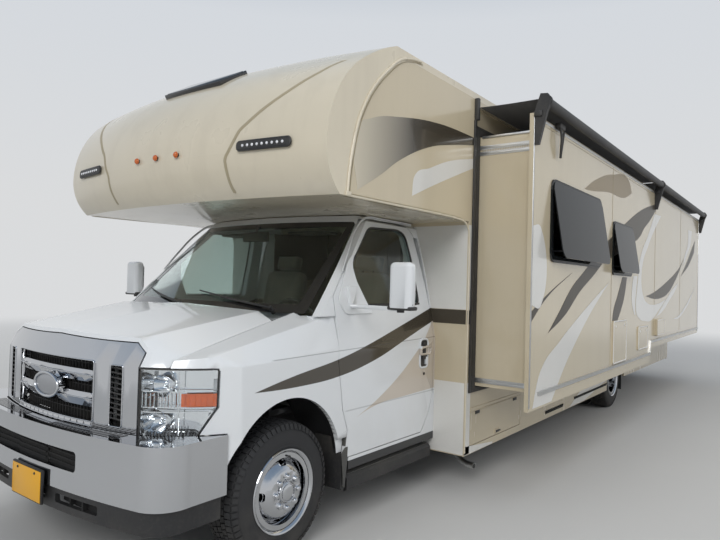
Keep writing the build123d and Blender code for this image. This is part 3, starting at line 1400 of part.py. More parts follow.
pieces = {
    "chassis_frame": chassis_frame,
    "engine": engine,
    "front_axle": front_axle,
    "knuckle_left": knuckle_left,
    "knuckle_right": mirrored(knuckle_left),
    "front_tyre_left": front_tyre_left,
    "front_tyre_right": mirrored(front_tyre_left),
    "front_wheel_left": front_wheel_left,
    "front_wheel_right": mirrored(front_wheel_left),
    "rear_tyres_left": rear_tyres_left,
    "rear_tyres_right": mirrored(rear_tyres_left),
    "rear_wheels_left": rear_wheels_left,
    "rear_wheels_right": mirrored(rear_wheels_left),
    "rear_axle": rear_axle,
    "underfloor_tubs": underfloor_tubs,
    "exhaust": exhaust,
    "cab_body": cab_body,
    "windscreen": windscreen,
    "hood": hood,
    "front_fenders": front_fenders,
    "grille": grille,
    "headlights": headlights,
    "front_bumper": front_bumper,
    "bumper_valance": bumper_valance,
    "cab_door_left": cab_door_left,
    "cab_door_right": mirrored(cab_door_left),
    "door_glass_left": door_glass_left,
    "door_glass_right": mirrored(door_glass_left),
    "mirror_left": mirror_left,
    "mirror_right": mirrored(mirror_left),
    "dashboard": dashboard,
    "seats": seats,
    "running_boards": running_boards,
    "mud_flaps": mud_flaps,
    "coach_floor": coach_floor,
    "left_wall": left_wall,
    "right_wall": right_wall,
    "front_wall": front_wall,
    "rear_wall": rear_wall,
    "coach_roof": coach_roof,
    "overcab": overcab,
    "skirts": skirts,
    "luggage_door_left": luggage_door_left,
    "luggage_door_right": luggage_door_right,
    "entry_door": entry_door,
    "windows": windows,
    "lamps": lamps,
    "rear_bumper": rear_bumper,
    "ladder": ladder,
    "roof_unit": roof_unit,
    "roof_vents": roof_vents,
    "awning": awning,
    "slide_box": slide_box,
    "slide_windows": slide_windows,
    "slide_hatches": slide_hatches,
    "slide_trim": slide_trim,
    "slide_seal": slide_seal,
    "topper_roller": topper_roller,
    "topper_fabric": topper_fabric,
}

# The part's origin is on the ground below the middle of its box
boxes = [piece.part.bounding_box() for piece in pieces.values()]
middle_x = (min(box.min.X for box in boxes) + max(box.max.X for box in boxes)) / 2
middle_y = (min(box.min.Y for box in boxes) + max(box.max.Y for box in boxes)) / 2
to_origin = Location((-middle_x, -middle_y, 0))
for name, piece in pieces.items():
    solid = piece.part.moved(to_origin)
    solid.label = name
    export_step(solid, f"parts/{name}.step")
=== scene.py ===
from functools import partialmethod
from math import cos, dist, pi, radians, sin, sqrt

import bmesh
import bpy
from bmesh.types import BMEdge, BMFace, BMVert
from mathutils import Matrix, Vector


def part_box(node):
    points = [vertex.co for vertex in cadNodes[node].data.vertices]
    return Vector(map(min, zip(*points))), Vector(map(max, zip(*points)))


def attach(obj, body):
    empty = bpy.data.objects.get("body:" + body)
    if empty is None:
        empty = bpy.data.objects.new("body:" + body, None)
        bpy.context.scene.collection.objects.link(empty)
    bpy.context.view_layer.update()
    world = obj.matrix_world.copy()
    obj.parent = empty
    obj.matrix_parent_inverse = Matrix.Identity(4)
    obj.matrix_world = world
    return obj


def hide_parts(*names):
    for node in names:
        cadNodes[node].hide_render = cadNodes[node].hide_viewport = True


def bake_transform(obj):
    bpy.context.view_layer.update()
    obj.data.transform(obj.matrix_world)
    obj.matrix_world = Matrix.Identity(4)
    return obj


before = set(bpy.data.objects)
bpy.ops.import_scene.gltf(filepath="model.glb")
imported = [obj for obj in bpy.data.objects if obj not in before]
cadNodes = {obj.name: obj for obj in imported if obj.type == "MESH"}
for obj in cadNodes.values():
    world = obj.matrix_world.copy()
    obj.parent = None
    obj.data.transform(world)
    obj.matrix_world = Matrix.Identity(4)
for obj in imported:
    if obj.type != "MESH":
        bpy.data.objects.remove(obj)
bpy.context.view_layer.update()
print("frame loaded,", len(cadNodes), "nodes")

# Pieces are drawn in metres with x = 0 on the centreline and y = 0 at the front axle, then shifted
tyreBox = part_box("front_tyre_left")
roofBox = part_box("coach_roof")
shift = Vector(((roofBox[0].x + roofBox[1].x) / 2, (tyreBox[0].y + tyreBox[1].y) / 2, 0))
weld = 0.00002                  # vertices nearer to each other than this become one


# finishes

class Signal:
    # a node's output that can be reckoned with
    def __init__(self, maker, socket):
        self.maker = maker
        self.socket = socket

    def out(self, name):
        return Signal(self.maker, self.socket.node.outputs[name])

    def maths(self, operation, *others):
        return self.maker.node("ShaderNodeMath", {"operation": operation}, self, *others)

    def step(self, start, end, limit, soft=0.001):
        return self.maker.node("ShaderNodeMapRange", {"interpolation_type": "SMOOTHSTEP"}, self, limit - soft,
                               limit + soft, start, end)

    __add__ = partialmethod(maths, "ADD")
    __sub__ = partialmethod(maths, "SUBTRACT")
    __mul__ = partialmethod(maths, "MULTIPLY")
    most = partialmethod(maths, "MAXIMUM")
    size = partialmethod(maths, "ABSOLUTE")
    above = partialmethod(step, 0.0, 1.0)
    below = partialmethod(step, 1.0, 0.0)


class Finish:
    def __init__(self, name, colour, roughness, **sockets):
        self.material = bpy.data.materials.new(name)
        self.material.use_nodes = True
        self.tree = self.material.node_tree
        self.shader = self.tree.nodes["Principled BSDF"]
        self.material.diffuse_color = (*colour, 1)
        self.roughness = roughness
        self.set("Base Color", (*colour, 1))
        self.set("Roughness", roughness)
        for socket, value in sockets.items():
            self.set(socket.replace("_", " "), value)

    def set(self, socket, value):
        self.feed(self.shader.inputs[socket], value)

    def feed(self, socket, value):
        if isinstance(value, Signal):
            self.tree.links.new(value.socket, socket)
        else:
            socket.default_value = value

    def node(self, kind, settings=None, *inputs, **named):
        made = self.tree.nodes.new(kind)
        for key, value in (settings or {}).items():
            setattr(made, key, value)
        for socket, value in zip(made.inputs, inputs):
            self.feed(socket, value)
        for name, value in named.items():
            self.feed(made.inputs[name.replace("_", " ")], value)
        return Signal(self, made.outputs[0])

    def place(self):
        return self.node("ShaderNodeTexCoord").out("Object")

    def axes(self):
        # the spot shaded, in the vehicle's own metres
        spot = self.node("ShaderNodeSeparateXYZ", None, self.place())
        return spot.out("X") - shift.x, spot.out("Y") - shift.y, spot.out("Z")

    def noise(self, scale, detail=4.0, stretch=(1, 1, 1)):
        where = self.node("ShaderNodeMapping", None, self.place(), Scale=stretch)
        return self.node("ShaderNodeTexNoise", None, Vector=where, Scale=scale, Detail=detail, Roughness=0.55)

    def mix(self, factor, first, second):
        made = self.tree.nodes.new("ShaderNodeMix")
        made.data_type = "RGBA"
        for number, value in ((0, factor), (6, first), (7, second)):
            self.feed(made.inputs[number], value if isinstance(value, Signal) or number == 0 else (*value, 1))
        return Signal(self, made.outputs[2])

    def bump(self, height, strength=0.2, distance=0.001):
        self.set("Normal", self.node("ShaderNodeBump", None, Strength=strength, Distance=distance,
                                     Height=height))


def rgb(red, green, blue):
    # a colour picked on screen, made linear
    shares = (channel / 255 for channel in (red, green, blue))
    return tuple(share / 12.92 if share < 0.0404 else ((share + 0.055) / 1.055) ** 2.4 for share in shares)


tone = {
    "cabWhite": rgb(222, 224, 225),
    "coachBeige": rgb(200, 187, 160),
    "capCream": rgb(214, 204, 182),
    "stripeBrown": rgb(66, 60, 50),
    "swooshTan": rgb(196, 182, 164),
    "swooshWhite": rgb(218, 216, 210),
    # painted shade for the darker lines along the cab's creases
    "creaseShade": rgb(70, 70, 70),
    "blackPlastic": (0.018, 0.018, 0.019),
    "rubber": (0.02, 0.02, 0.021),
    "dust": rgb(150, 138, 118),
}

cabStripe = {
    "span": (-0.3, 1.6),        # along the cab, behind the front axle
    "rise": (0.6, 1.4),
    "stripe": (((-0.249, 0.922), (0.116, 0.916), (0.42, 0.933), (0.771, 0.995), (1.158, 1.11), (1.54, 1.217)),
               ((-0.249, 0.922), (0.047, 0.978), (0.416, 1.034), (0.695, 1.096), (1.153, 1.213),
                (1.54, 1.315))),
    "swoosh": (((0.611, 0.663), (0.839, 0.711), (1.15, 0.722), (1.56, 0.731)),
               ((0.611, 0.663), (0.9, 0.775), (1.25, 0.977), (1.56, 1.235))),
    "side": 0.84,               # nothing is painted nearer to the centreline
    # creases: slope, height, half width, softness, where it starts, and how dark the painted shade in it is
    "creases": ((0.02, 1.076, 0.0025, 0.002, -0.12, 0.55), (0.0, 0.716, 0.004, 0.003, 0.5, 0.3)),
    "well": (0.02, 0.42, 0.506, 0.972),
    "sill": (0.412, 0.53),
}


def lineHeight(paint, along, points):
    # height of a painted edge as a smooth curve over the distance along the cab
    y0, y1 = cabStripe["span"]
    z0, z1 = cabStripe["rise"]
    made = paint.node("ShaderNodeFloatCurve", None, 1.0, (along - y0) * (1 / (y1 - y0)))
    mapping = made.socket.node.mapping
    line = mapping.curves[0].points
    while len(line) < len(points):
        line.new(0.5, 0.5)
    for point, (y, z) in zip(line, points):
        point.location = ((y - y0) / (y1 - y0), (z - z0) / (z1 - z0))
    mapping.update()
    return made * (z1 - z0) + z0


def painted(paint, y, z, name):
    # between the lower and the upper edge, from where they meet
    low, top = (lineHeight(paint, y, points) for points in cabStripe[name])
    return (z - low).above(0.0) * (top - z).above(0.0) * y.above(cabStripe[name][0][0][0])


def cabPaint():
    paint = Finish("cabPaint", tone["cabWhite"], 0.2, Coat_Weight=0.7, Coat_Roughness=0.04)
    x, y, z = paint.axes()
    side = x.size().above(cabStripe["side"], 0.004)
    grime = paint.noise(4.0, 5.0).above(0.5, 0.3) * z.below(0.7, 0.3) * 0.1
    # inside of the wheel arches and the sill under the doors
    wellY, wellZ, reach, inner = cabStripe["well"]
    fromHub = ((y - wellY) * (y - wellY) + (z - wellZ) * (z - wellZ)).maths("SQRT")
    well = fromHub.below(reach) * x.size().below(inner)
    sillTop, sillFrom = cabStripe["sill"]
    shade = well.most(z.below(sillTop) * y.above(sillFrom))
    lines = []
    # darker lines along the creases are painted shade; only the upper crease is also pressed in by the bump
    for slope, height, half, soft, start, depth in cabStripe["creases"]:
        lines.append((z - (y * slope + height)).size().below(half, soft) * side * y.above(start, 0.02))
    paintedCreaseShade = (lines[0] * cabStripe["creases"][0][5]).most(lines[1] * cabStripe["creases"][1][5])
    colour = paint.mix(grime, tone["cabWhite"], tone["dust"])
    colour = paint.mix(painted(paint, y, z, "swoosh") * side * 0.85, colour, tone["swooshTan"])
    colour = paint.mix(painted(paint, y, z, "stripe") * side, colour, tone["stripeBrown"])
    colour = paint.mix(paintedCreaseShade, colour, tone["creaseShade"])
    paint.set("Base Color", paint.mix(shade, colour, tone["blackPlastic"]))
    paint.set("Roughness", shade * 0.4 + paint.roughness)
    paint.bump(paint.noise(160.0, 2.0) * 0.3 - lines[0] * 4.0, 0.08, 0.0006)
    return paint.material


def shellFinish(name, colour, gloss, dirt=0.18):
    shell = Finish(name, colour, gloss, Coat_Weight=0.5, Coat_Roughness=0.08)
    x, y, z = shell.axes()
    streaks = shell.noise(7.0, 4.0, (1, 1, 0.12)).above(0.58, 0.12) * z.above(0.4, 0.3)
    mask = (streaks * 0.35 + shell.noise(1.6).above(0.5, 0.3) * 0.35 + z.below(0.62, 0.25) * 0.5) * dirt
    shell.set("Base Color", shell.mix(mask, colour, tone["dust"]))
    shell.set("Roughness", mask * 0.5 + gloss)
    shell.bump(shell.noise(1.3, 2.0) * 6 + shell.noise(90.0, 2.0) * 0.3, 0.05)
    return shell.material


def plainFinish(name, colour, roughness, amount, dirt=(0.3, 0.27, 0.22), grain=None, scale=3.0, **sockets):
    # slow colour drift with fine specks, and roughness that follows it
    made = Finish(name, colour, roughness, **sockets)
    mask = made.noise(scale, 5.0).above(0.52, 0.2) * 0.7 + made.noise(scale * 22, 3.0).above(0.6, 0.12) * 0.3
    made.set("Base Color", made.mix(mask * amount, colour, dirt))
    made.set("Roughness", mask * amount * 0.12 + roughness)
    if grain:
        made.bump(made.noise(grain[0], 3.0), *grain[1:])
    return made.material


def paneFinish(name, colour, see):
    pane = Finish(name, colour, 0.02, Transmission_Weight=see, IOR=1.5,
                  Specular_IOR_Level=0.5 if see else 0.12)
    pane.set("Roughness", pane.noise(2.5, 3.0).above(0.55, 0.2) * 0.03 + 0.02)
    return pane.material


def tyreFinish():
    rubber = Finish("tyreRubber", tone["rubber"], 0.72)
    x, y, z = rubber.axes()
    dusty = rubber.noise(9.0, 5.0).above(0.5, 0.2) * z.below(0.3, 0.3)
    rubber.set("Base Color", rubber.mix(dusty * 0.35, tone["rubber"], (0.12, 0.11, 0.095)))
    rubber.set("Roughness", dusty * 0.15 + 0.66)
    rubber.bump(rubber.noise(260.0, 3.0), 0.25, 0.0006)
    return rubber.material


def wovenFinish(name, colour, thread):
    cloth = Finish(name, colour, 0.85, Sheen_Weight=0.3, Sheen_Roughness=0.5)
    spot = cloth.node("ShaderNodeSeparateXYZ", None, cloth.place())
    across, warp, weft = ((spot.out(axis) * thread).maths("SINE") for axis in "XYZ")
    drift = cloth.noise(5.0).above(0.5, 0.3) * 0.6
    cloth.set("Base Color", cloth.mix(drift, colour, [c * 0.6 for c in colour]))
    cloth.bump(warp * weft + across * 0.5, 0.35, 0.0008)
    return cloth.material


def fadedFinish():
    # brown film that grows out of the cream shell towards the rear
    film = Finish("fadedFilm", tone["stripeBrown"], 0.24, Coat_Weight=0.5, Coat_Roughness=0.06)
    x, y, z = film.axes()
    strength = film.node("ShaderNodeMapRange", None, y, 0.17, 0.78, 0.12, 1.0)
    film.set("Base Color", film.mix(strength, tone["capCream"], tone["stripeBrown"]))
    return film.material


finishes = {
    "cab": cabPaint(),
    "fadedBrown": fadedFinish(),
    "coach": shellFinish("coachSide", tone["coachBeige"], 0.2),
    "cream": shellFinish("creamShell", tone["capCream"], 0.26, 0.22),
    "roofWhite": shellFinish("roofMoulding", tone["swooshWhite"], 0.35),
    "tyre": tyreFinish(),
    "dark": paneFinish("darkPane", (0.012, 0.014, 0.015), 0.0),
    "clear": paneFinish("clearPane", (0.62, 0.72, 0.69), 1.0),
    "lens": paneFinish("lampLens", (0.93, 0.95, 0.96), 1.0),
    "cloth": wovenFinish("seatCloth", (0.3, 0.26, 0.21), 900.0),
    "awning": wovenFinish("awningCloth", (0.03, 0.03, 0.033), 700.0),
}
# material name, colour, roughness, share of dirt, and what else differs
plainFinishes = {
    "satinWhite": ("satinWhite", tone["cabWhite"], 0.35, 0.08, {}),
    "satin": ("satinMetal", (0.42, 0.43, 0.45), 0.34, 0.08, {"Metallic": 0.9}),
    # painted shade: near black for sheets put in openings where only shade is seen
    "paintedShade": ("deepShade", (0.005, 0.005, 0.005), 0.85, 0.05, {}),
    "mirrorBright": ("silvering", (0.86, 0.87, 0.88), 0.06, 0.04, {"Metallic": 1.0}),
    "shade": ("grooveShade", rgb(166, 154, 127), 0.5, 0.1, {}),
    "grip": ("gripRubber", rgb(74, 74, 72), 0.7, 0.2, {"grain": (300.0, 0.2, 0.0005)}),
    "led": ("whiteLens", (0.8, 0.8, 0.82), 0.12, 0.05, {"Coat_Weight": 0.8}),
    "brown": ("brownFilm", tone["stripeBrown"], 0.32, 0.06, {"Specular_IOR_Level": 0.25}),
    "white": ("whiteFilm", tone["swooshWhite"], 0.22, 0.08, {"Coat_Weight": 0.5, "Coat_Roughness": 0.06}),
    "haze": ("tanFilm", rgb(140, 124, 96), 0.3, 0.06, {"Specular_IOR_Level": 0.3}),
    "chrome": ("chromePlate", (0.57, 0.58, 0.6), 0.05, 0.08, {"dirt": (0.45, 0.42, 0.38), "Metallic": 1.0}),
    "black": ("blackMoulding", tone["blackPlastic"], 0.5, 0.12, {"grain": (700.0, 0.2, 0.0004)}),
    "gloss": ("glossBlack", (0.012, 0.012, 0.013), 0.12, 0.05, {"Coat_Weight": 0.5}),
    "rubber": ("sealRubber", tone["rubber"], 0.62, 0.16, {"grain": (400.0, 0.15, 0.0005)}),
    "amber": ("amberLens", rgb(250, 108, 6), 0.12, 0.05, {"Coat_Weight": 0.8}),
    "marker": ("markerLens", rgb(198, 96, 26), 0.25, 0.1, {"Coat_Weight": 0.4}),
    "red": ("redLens", rgb(168, 14, 12), 0.12, 0.05, {"Coat_Weight": 0.8}),
    "frame": ("chassisPaint", tone["rubber"], 0.55, 0.4,
              {"dirt": (0.16, 0.12, 0.09), "grain": (200.0, 0.2, 0.0008)}),
    "cast": ("castMetal", (0.18, 0.18, 0.185), 0.6, 0.4,
             {"dirt": (0.12, 0.08, 0.05), "Metallic": 0.7, "grain": (300.0, 0.3, 0.0008)}),
    "alloy": ("brightAluminium", (0.6, 0.6, 0.59), 0.32, 0.25,
              {"dirt": (0.3, 0.29, 0.27), "Metallic": 1.0, "grain": (300.0, 0.08, 0.0004)}),
    "steel": ("exhaustSteel", (0.32, 0.3, 0.28), 0.45, 0.5,
              {"dirt": (0.14, 0.08, 0.05), "Metallic": 0.9, "grain": (250.0, 0.2, 0.0006)}),
    "fascia": ("fasciaGrey", (0.11, 0.1, 0.09), 0.62, 0.1, {"grain": (600.0, 0.3, 0.0005)}),
    "board": ("floorBoard", (0.2, 0.13, 0.08), 0.4, 0.5, {"dirt": (0.1, 0.06, 0.04), "scale": 8.0}),
    "plate": ("plateYellow", rgb(232, 170, 30), 0.35, 0.1, {}),
}
for key, (name, colour, roughness, amount, options) in plainFinishes.items():
    finishes[key] = plainFinish(name, colour, roughness, amount, **options)
print("finishes made,", len(finishes))

# finishes of the nodes that stay

nodeFinish = {
    "frame": "chassis_frame front_axle rear_axle",
    "cast": "engine knuckle_*",
    "tyre": "front_tyre_* rear_tyres_*",
    "chrome": "front_wheel_* rear_wheels_* grille front_bumper",
    "cab": "cab_body hood front_fenders cab_door_* mirror_*",
    "clear": "windscreen door_glass_*",
    "lens": "headlights",
    "black": "bumper_valance running_boards rear_bumper topper_roller underfloor_tubs",
    "rubber": "mud_flaps slide_seal",
    "fascia": "dashboard",
    "cloth": "seats",
    "board": "coach_floor",
    "coach": "left_wall right_wall front_wall rear_wall skirts luggage_door_* entry_door slide_box "
             "slide_hatches",
    "cream": "coach_roof overcab",
    "dark": "windows slide_windows",
    "gloss": "lamps",
    "alloy": "ladder slide_trim",
    "roofWhite": "roof_unit roof_vents awning",
    "steel": "exhaust",
    "awning": "topper_fabric",
}


def bothSides(names):
    # a name that ends in a star stands for the left and the right node
    sides = ("left", "right")
    return [name.replace("*", side) for name in names.split() for side in sides[:1 + name.count("*")]]


for finish, names in nodeFinish.items():
    for name in bothSides(names):
        mesh = cadNodes[name].data
        mesh.materials.clear()
        mesh.materials.append(finishes[finish])
print("nodes painted")


# making pieces

def addObject(name, bm, material, sharp):
    mesh = bpy.data.meshes.new(name)
    bm.to_mesh(mesh)
    bm.free()
    mesh.materials.append(material)
    mesh.shade_smooth()
    mesh.set_sharp_from_angle(angle=radians(sharp))
    piece = bpy.data.objects.new(name, mesh)
    bpy.context.scene.collection.objects.link(piece)
    return piece


def makePiece(name, bm, body, finish, smooth=30, replaces=(), side=1):
    # a piece drawn for the driver's side is turned over for the other one
    if side < 0:
        flipSide(bm)
    bmesh.ops.translate(bm, verts=bm.verts, vec=shift)
    piece = addObject(name, bm, finishes[finish], smooth)
    if body:
        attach(piece, body)
    if replaces:
        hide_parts(*replaces)
    return piece


# merged copies of curved nodes, with even shading

smoothNodes = (
    ("cab_white", "hood", "hood_lid"),
    ("cab_white", "front_fenders cab_body", "coach"),
    ("cab_white", "cab_door_*", "*_cab_door"),
    ("mirror_white", "mirror_*", "*_cab_door"),
    ("bright_chrome", "grille front_bumper", "coach"),
    ("trim_black", "bumper_valance", "coach"),
    ("wheel_chrome", "front_wheel_*", "front_*_wheel"),
    ("wheel_chrome", "rear_wheels_*", "rear_*_wheels"),
    ("clear_glass", "windscreen", "coach"),
)
merged = [(name, body, slotName) for slotName, names, bodies in smoothNodes
          for name, body in zip(bothSides(names), bothSides(bodies) * 2)]
for name, body, slotName in merged:
    source = cadNodes[name].data
    bm = bmesh.new()
    bm.from_mesh(source)
    bmesh.ops.remove_doubles(bm, verts=bm.verts, dist=weld)
    piece = addObject("smooth_" + name, bm, source.materials[0], 32)
    piece.modifiers.new("evenShading", "WEIGHTED_NORMAL").keep_sharp = True
    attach(piece, body)
    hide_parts(name)
print("curved nodes smoothed")


# drawing tools

def addBox(bm, low, high):
    low, high = Vector(low), Vector(high)
    made = bmesh.ops.create_cube(bm, size=1.0)["verts"]
    bmesh.ops.scale(bm, verts=made, vec=high - low)
    bmesh.ops.translate(bm, verts=made, vec=(low + high) / 2)
    return made


def boxRow(bm, low, high, step, count):
    # like boxes, each a step further on
    for number in range(count):
        move = Vector(step) * number
        addBox(bm, Vector(low) + move, Vector(high) + move)


def roundBox(bm, low, high, radius, segments=3, place=None):
    block = bmesh.new()
    addBox(block, low, high)
    bmesh.ops.bevel(block, geom=block.edges[:], offset=radius, segments=segments, affect="EDGES", profile=0.5,
                    material=-1)
    joinInto(bm, block, place)


def joinInto(bm, part, place=None):
    mesh = bpy.data.meshes.new("part")
    part.to_mesh(mesh)
    part.free()
    if place:
        mesh.transform(place)
    bm.from_mesh(mesh)
    bpy.data.meshes.remove(mesh)


def addCylinder(bm, start, end, radius, segments=32, tip=None):
    start, end = Vector(start), Vector(end)
    line = end - start
    turn = line.to_track_quat("Z", "Y").to_matrix().to_4x4()
    bmesh.ops.create_cone(bm, cap_ends=True, segments=segments, depth=line.length, radius1=radius,
                          radius2=radius if tip is None else tip,
                          matrix=Matrix.Translation((start + end) / 2) @ turn)


def addDome(bm, centre, size, rings=10):
    ball = bmesh.ops.create_uvsphere(bm, u_segments=rings * 2, v_segments=rings, radius=1.0)["verts"]
    bmesh.ops.scale(bm, verts=ball, vec=size)
    bmesh.ops.translate(bm, verts=ball, vec=centre)


def takeCurve(bm, line, points, sharp, closed, place=None):
    # the solid form of a curve laid through the points; sharp ones stay corners
    spline = line.splines.new("BEZIER")
    spline.bezier_points.add(len(points) - 1)
    spline.use_cyclic_u = closed
    for index, (point, knot) in enumerate(zip(points, spline.bezier_points)):
        knot.co = point
        kind = "VECTOR" if sharp == "all" or index in sharp else "AUTO"
        knot.handle_left_type = kind
        knot.handle_right_type = kind
    holder = bpy.data.objects.new("line", line)
    bpy.context.scene.collection.objects.link(holder)
    bpy.context.view_layer.update()
    mesh = bpy.data.meshes.new_from_object(holder)
    if place:
        mesh.transform(place)
    bm.from_mesh(mesh)
    bpy.data.objects.remove(holder)
    bpy.data.curves.remove(line)
    bpy.data.meshes.remove(mesh)


def addTube(bm, points, radius, steps=2, closed=False, straight=False):
    # a round bar along a line through the points
    line = bpy.data.curves.new("bar", "CURVE")
    line.dimensions = "3D"
    line.bevel_depth = radius
    line.bevel_resolution = steps
    line.resolution_u = 1 if straight else 6
    line.use_fill_caps = not closed
    takeCurve(bm, line, points, "all" if straight else (), closed)


def addFilm(bm, points, place, thickness=0.001, sharp="all"):
    # a sheet cut flat along a line through the points
    line = bpy.data.curves.new("film", "CURVE")
    line.dimensions = "2D"
    line.fill_mode = "BOTH"
    line.extrude = thickness / 2
    line.resolution_u = 10
    sheet = bmesh.new()
    takeCurve(sheet, line, [(*point, 0) for point in points], sharp, True, place)
    bmesh.ops.remove_doubles(sheet, verts=sheet.verts, dist=weld)
    joinInto(bm, sheet)


def wrapFilm(bm, points, surface, out, thickness, step, sharp="all"):
    # a sheet cut flat, scored, and settled onto a curved surface, a little outside it
    sheet = bmesh.new()
    across = 2 if surface is cabX else 0
    addFilm(sheet, points, frontPlane(0) if across == 0 else sidePlane(0), thickness, sharp)
    low = min(vert.co[across] for vert in sheet.verts)
    high = max(vert.co[across] for vert in sheet.verts)
    normal = Vector((0, 0, 0))
    normal[across] = 1
    spot = low + step
    while spot < high - step * 0.2:
        geom = sheet.verts[:] + sheet.edges[:] + sheet.faces[:]
        bmesh.ops.bisect_plane(sheet, geom=geom, plane_co=normal * spot, plane_no=normal)
        spot += step
    for vert in sheet.verts:
        if surface is cabX:
            vert.co.x += cabX(vert.co.z) + out
        else:
            vert.co.y += surface(vert.co.x, vert.co.z) - out
    joinInto(bm, sheet)


def spinProfile(bm, profile, centre, steps=96, axis=(1, 0, 0)):
    # turns a closed line of (along the axis, radius) points about the axis through the centre
    part = bmesh.new()
    verts = [part.verts.new(Vector(axis) * along + Vector((0, 0, radius))) for along, radius in profile]
    edges = [part.edges.new(pair) for pair in zip(verts, verts[1:] + verts[:1])]
    bmesh.ops.spin(part, geom=verts + edges, cent=(0, 0, 0), axis=axis, angle=2 * pi, steps=steps,
                   use_merge=True)
    bmesh.ops.remove_doubles(part, verts=part.verts, dist=weld)
    bmesh.ops.recalc_face_normals(part, faces=part.faces)
    joinInto(bm, part, Matrix.Translation(centre))


def ofKind(items, kind):
    return [item for item in items if isinstance(item, kind)]


def mirrorAll(bm):
    # a second copy on the other side of the centreline
    copied = bmesh.ops.duplicate(bm, geom=bm.verts[:] + bm.edges[:] + bm.faces[:])["geom"]
    bmesh.ops.scale(bm, verts=ofKind(copied, BMVert), vec=(-1, 1, 1))
    bmesh.ops.reverse_faces(bm, faces=ofKind(copied, BMFace))


def flipSide(bm):
    bmesh.ops.scale(bm, verts=bm.verts, vec=(-1, 1, 1))
    bmesh.ops.reverse_faces(bm, faces=bm.faces)


def sidePlane(x):
    # drawing plane seen from the driver's side: drawn x is the vehicle's y, drawn y its z
    return Matrix(((0, 0, 1, x), (1, 0, 0, 0), (0, 1, 0, 0), (0, 0, 0, 1)))


def frontPlane(y):
    # drawing plane seen from the front: drawn x is the vehicle's x, drawn y its z
    return Matrix(((1, 0, 0, 0), (0, 0, -1, y), (0, 1, 0, 0), (0, 0, 0, 1)))


def corners(y0, y1, z0, z1):
    return (y0, z0), (y1, z0), (y1, z1), (y0, z1)


def roundCorners(y0, y1, z0, z1, radius, grow=0.0, steps=5):
    # a rectangle's outline, grown by an amount, with rounded corners
    inset = radius - grow
    middles = ((y1 - inset, z1 - inset), (y0 + inset, z1 - inset), (y0 + inset, z0 + inset),
               (y1 - inset, z0 + inset))
    points = []
    for turn, (y, z) in enumerate(middles):
        for step in range(steps + 1):
            angle = pi / 2 * (turn + step / steps)
            points.append((y + radius * cos(angle), z + radius * sin(angle)))
    return points


def ringTube(bm, points, place, radius):
    # a bar round an outline; place makes a spot of each of its points
    addTube(bm, [place(u, v) for u, v in points], radius, 2, closed=True, straight=True)


def ellipse(centre, u, v, count):
    # spots round a centre, reached by two half axes
    turns = (2 * pi * step / count for step in range(count))
    return [Vector(centre) + Vector(u) * cos(turn) + Vector(v) * sin(turn) for turn in turns]


def spread(points, gap):
    # the closed line with more points on its long stretches
    spots = [Vector(point) for point in points]
    out = []
    for here, there in zip(spots, spots[1:] + spots[:1]):
        parts = max(1, int((there - here).length / gap))
        out += [here.lerp(there, step / parts) for step in range(parts)]
    return out


def circleThrough(a, b, c):
    # centre and radius of the circle through three points
    (p, q, r), (s, t, u) = ((2 * (x - a[0]), 2 * (y - a[1]), x ** 2 + y ** 2 - a[0] ** 2 - a[1] ** 2)
                            for x, y in (b, c))
    det = p * t - q * s
    centre = (r * t - q * u) / det, (p * u - r * s) / det
    return centre, sqrt((a[0] - centre[0]) ** 2 + (a[1] - centre[1]) ** 2)


# surfaces that pieces lie on

nose = {"front": -0.785, "bow": 2.6, "corner": 0.68, "leanFrom": 1.06, "lean": 0.5,
        "side": ((0.68, -0.6945), (0.85, -0.562), (1.003, -0.33))}
cab = {"half": 1.003, "arc": ((1.003, 1.085), (0.935, 1.44), (0.812, 1.91))}
screen = {"foot": (0.104, 1.32), "slope": 1.08, "bow": 2.25}
cap = {"axis": 5.825, "nose": (-0.175, 2.2), "upper": 0.6355, "lower": 0.3185}
coach = {"half": 1.2575, "rear": 9.07, "front": 1.56}
slide = {"face": 1.7055, "front": 1.61, "rear": 9.05}
noseArc = circleThrough(*nose["side"])
cabArc = circleThrough(*cab["arc"])


def noseY(x, z=0.0):
    x = abs(x)
    if x <= nose["corner"]:
        y = nose["front"] + nose["bow"] - sqrt(nose["bow"] ** 2 - x ** 2)
    else:
        centre, radius = noseArc
        y = centre[1] - sqrt(max(radius ** 2 - (x - centre[0]) ** 2, 0))
    return y + max(0.0, z - nose["leanFrom"]) * nose["lean"]


def cabX(z):
    if z <= cab["arc"][0][1]:
        return cab["half"]
    centre, radius = cabArc
    return centre[0] + sqrt(max(radius ** 2 - (z - centre[1]) ** 2, 0))


def screenY(x, z):
    leaning = screen["foot"][0] + (z - screen["foot"][1]) * screen["slope"]
    return leaning + screen["bow"] - sqrt(screen["bow"] ** 2 - x ** 2)


def capY(x, z):
    y, foot = cap["nose"]
    radius = cap["upper"] if z > foot else cap["lower"]
    atMiddle = y + radius - sqrt(max(radius ** 2 - (z - foot) ** 2, 0))
    return cap["axis"] - sqrt((cap["axis"] - atMiddle) ** 2 - x ** 2)


def onNose(out):
    # a spot's place in front of the nose
    return lambda x, z: (x, noseY(x) - out, z)


def atSide(x):
    return lambda y, z: (x, y, z)


# painted swooshes on the slide-out's outer panel

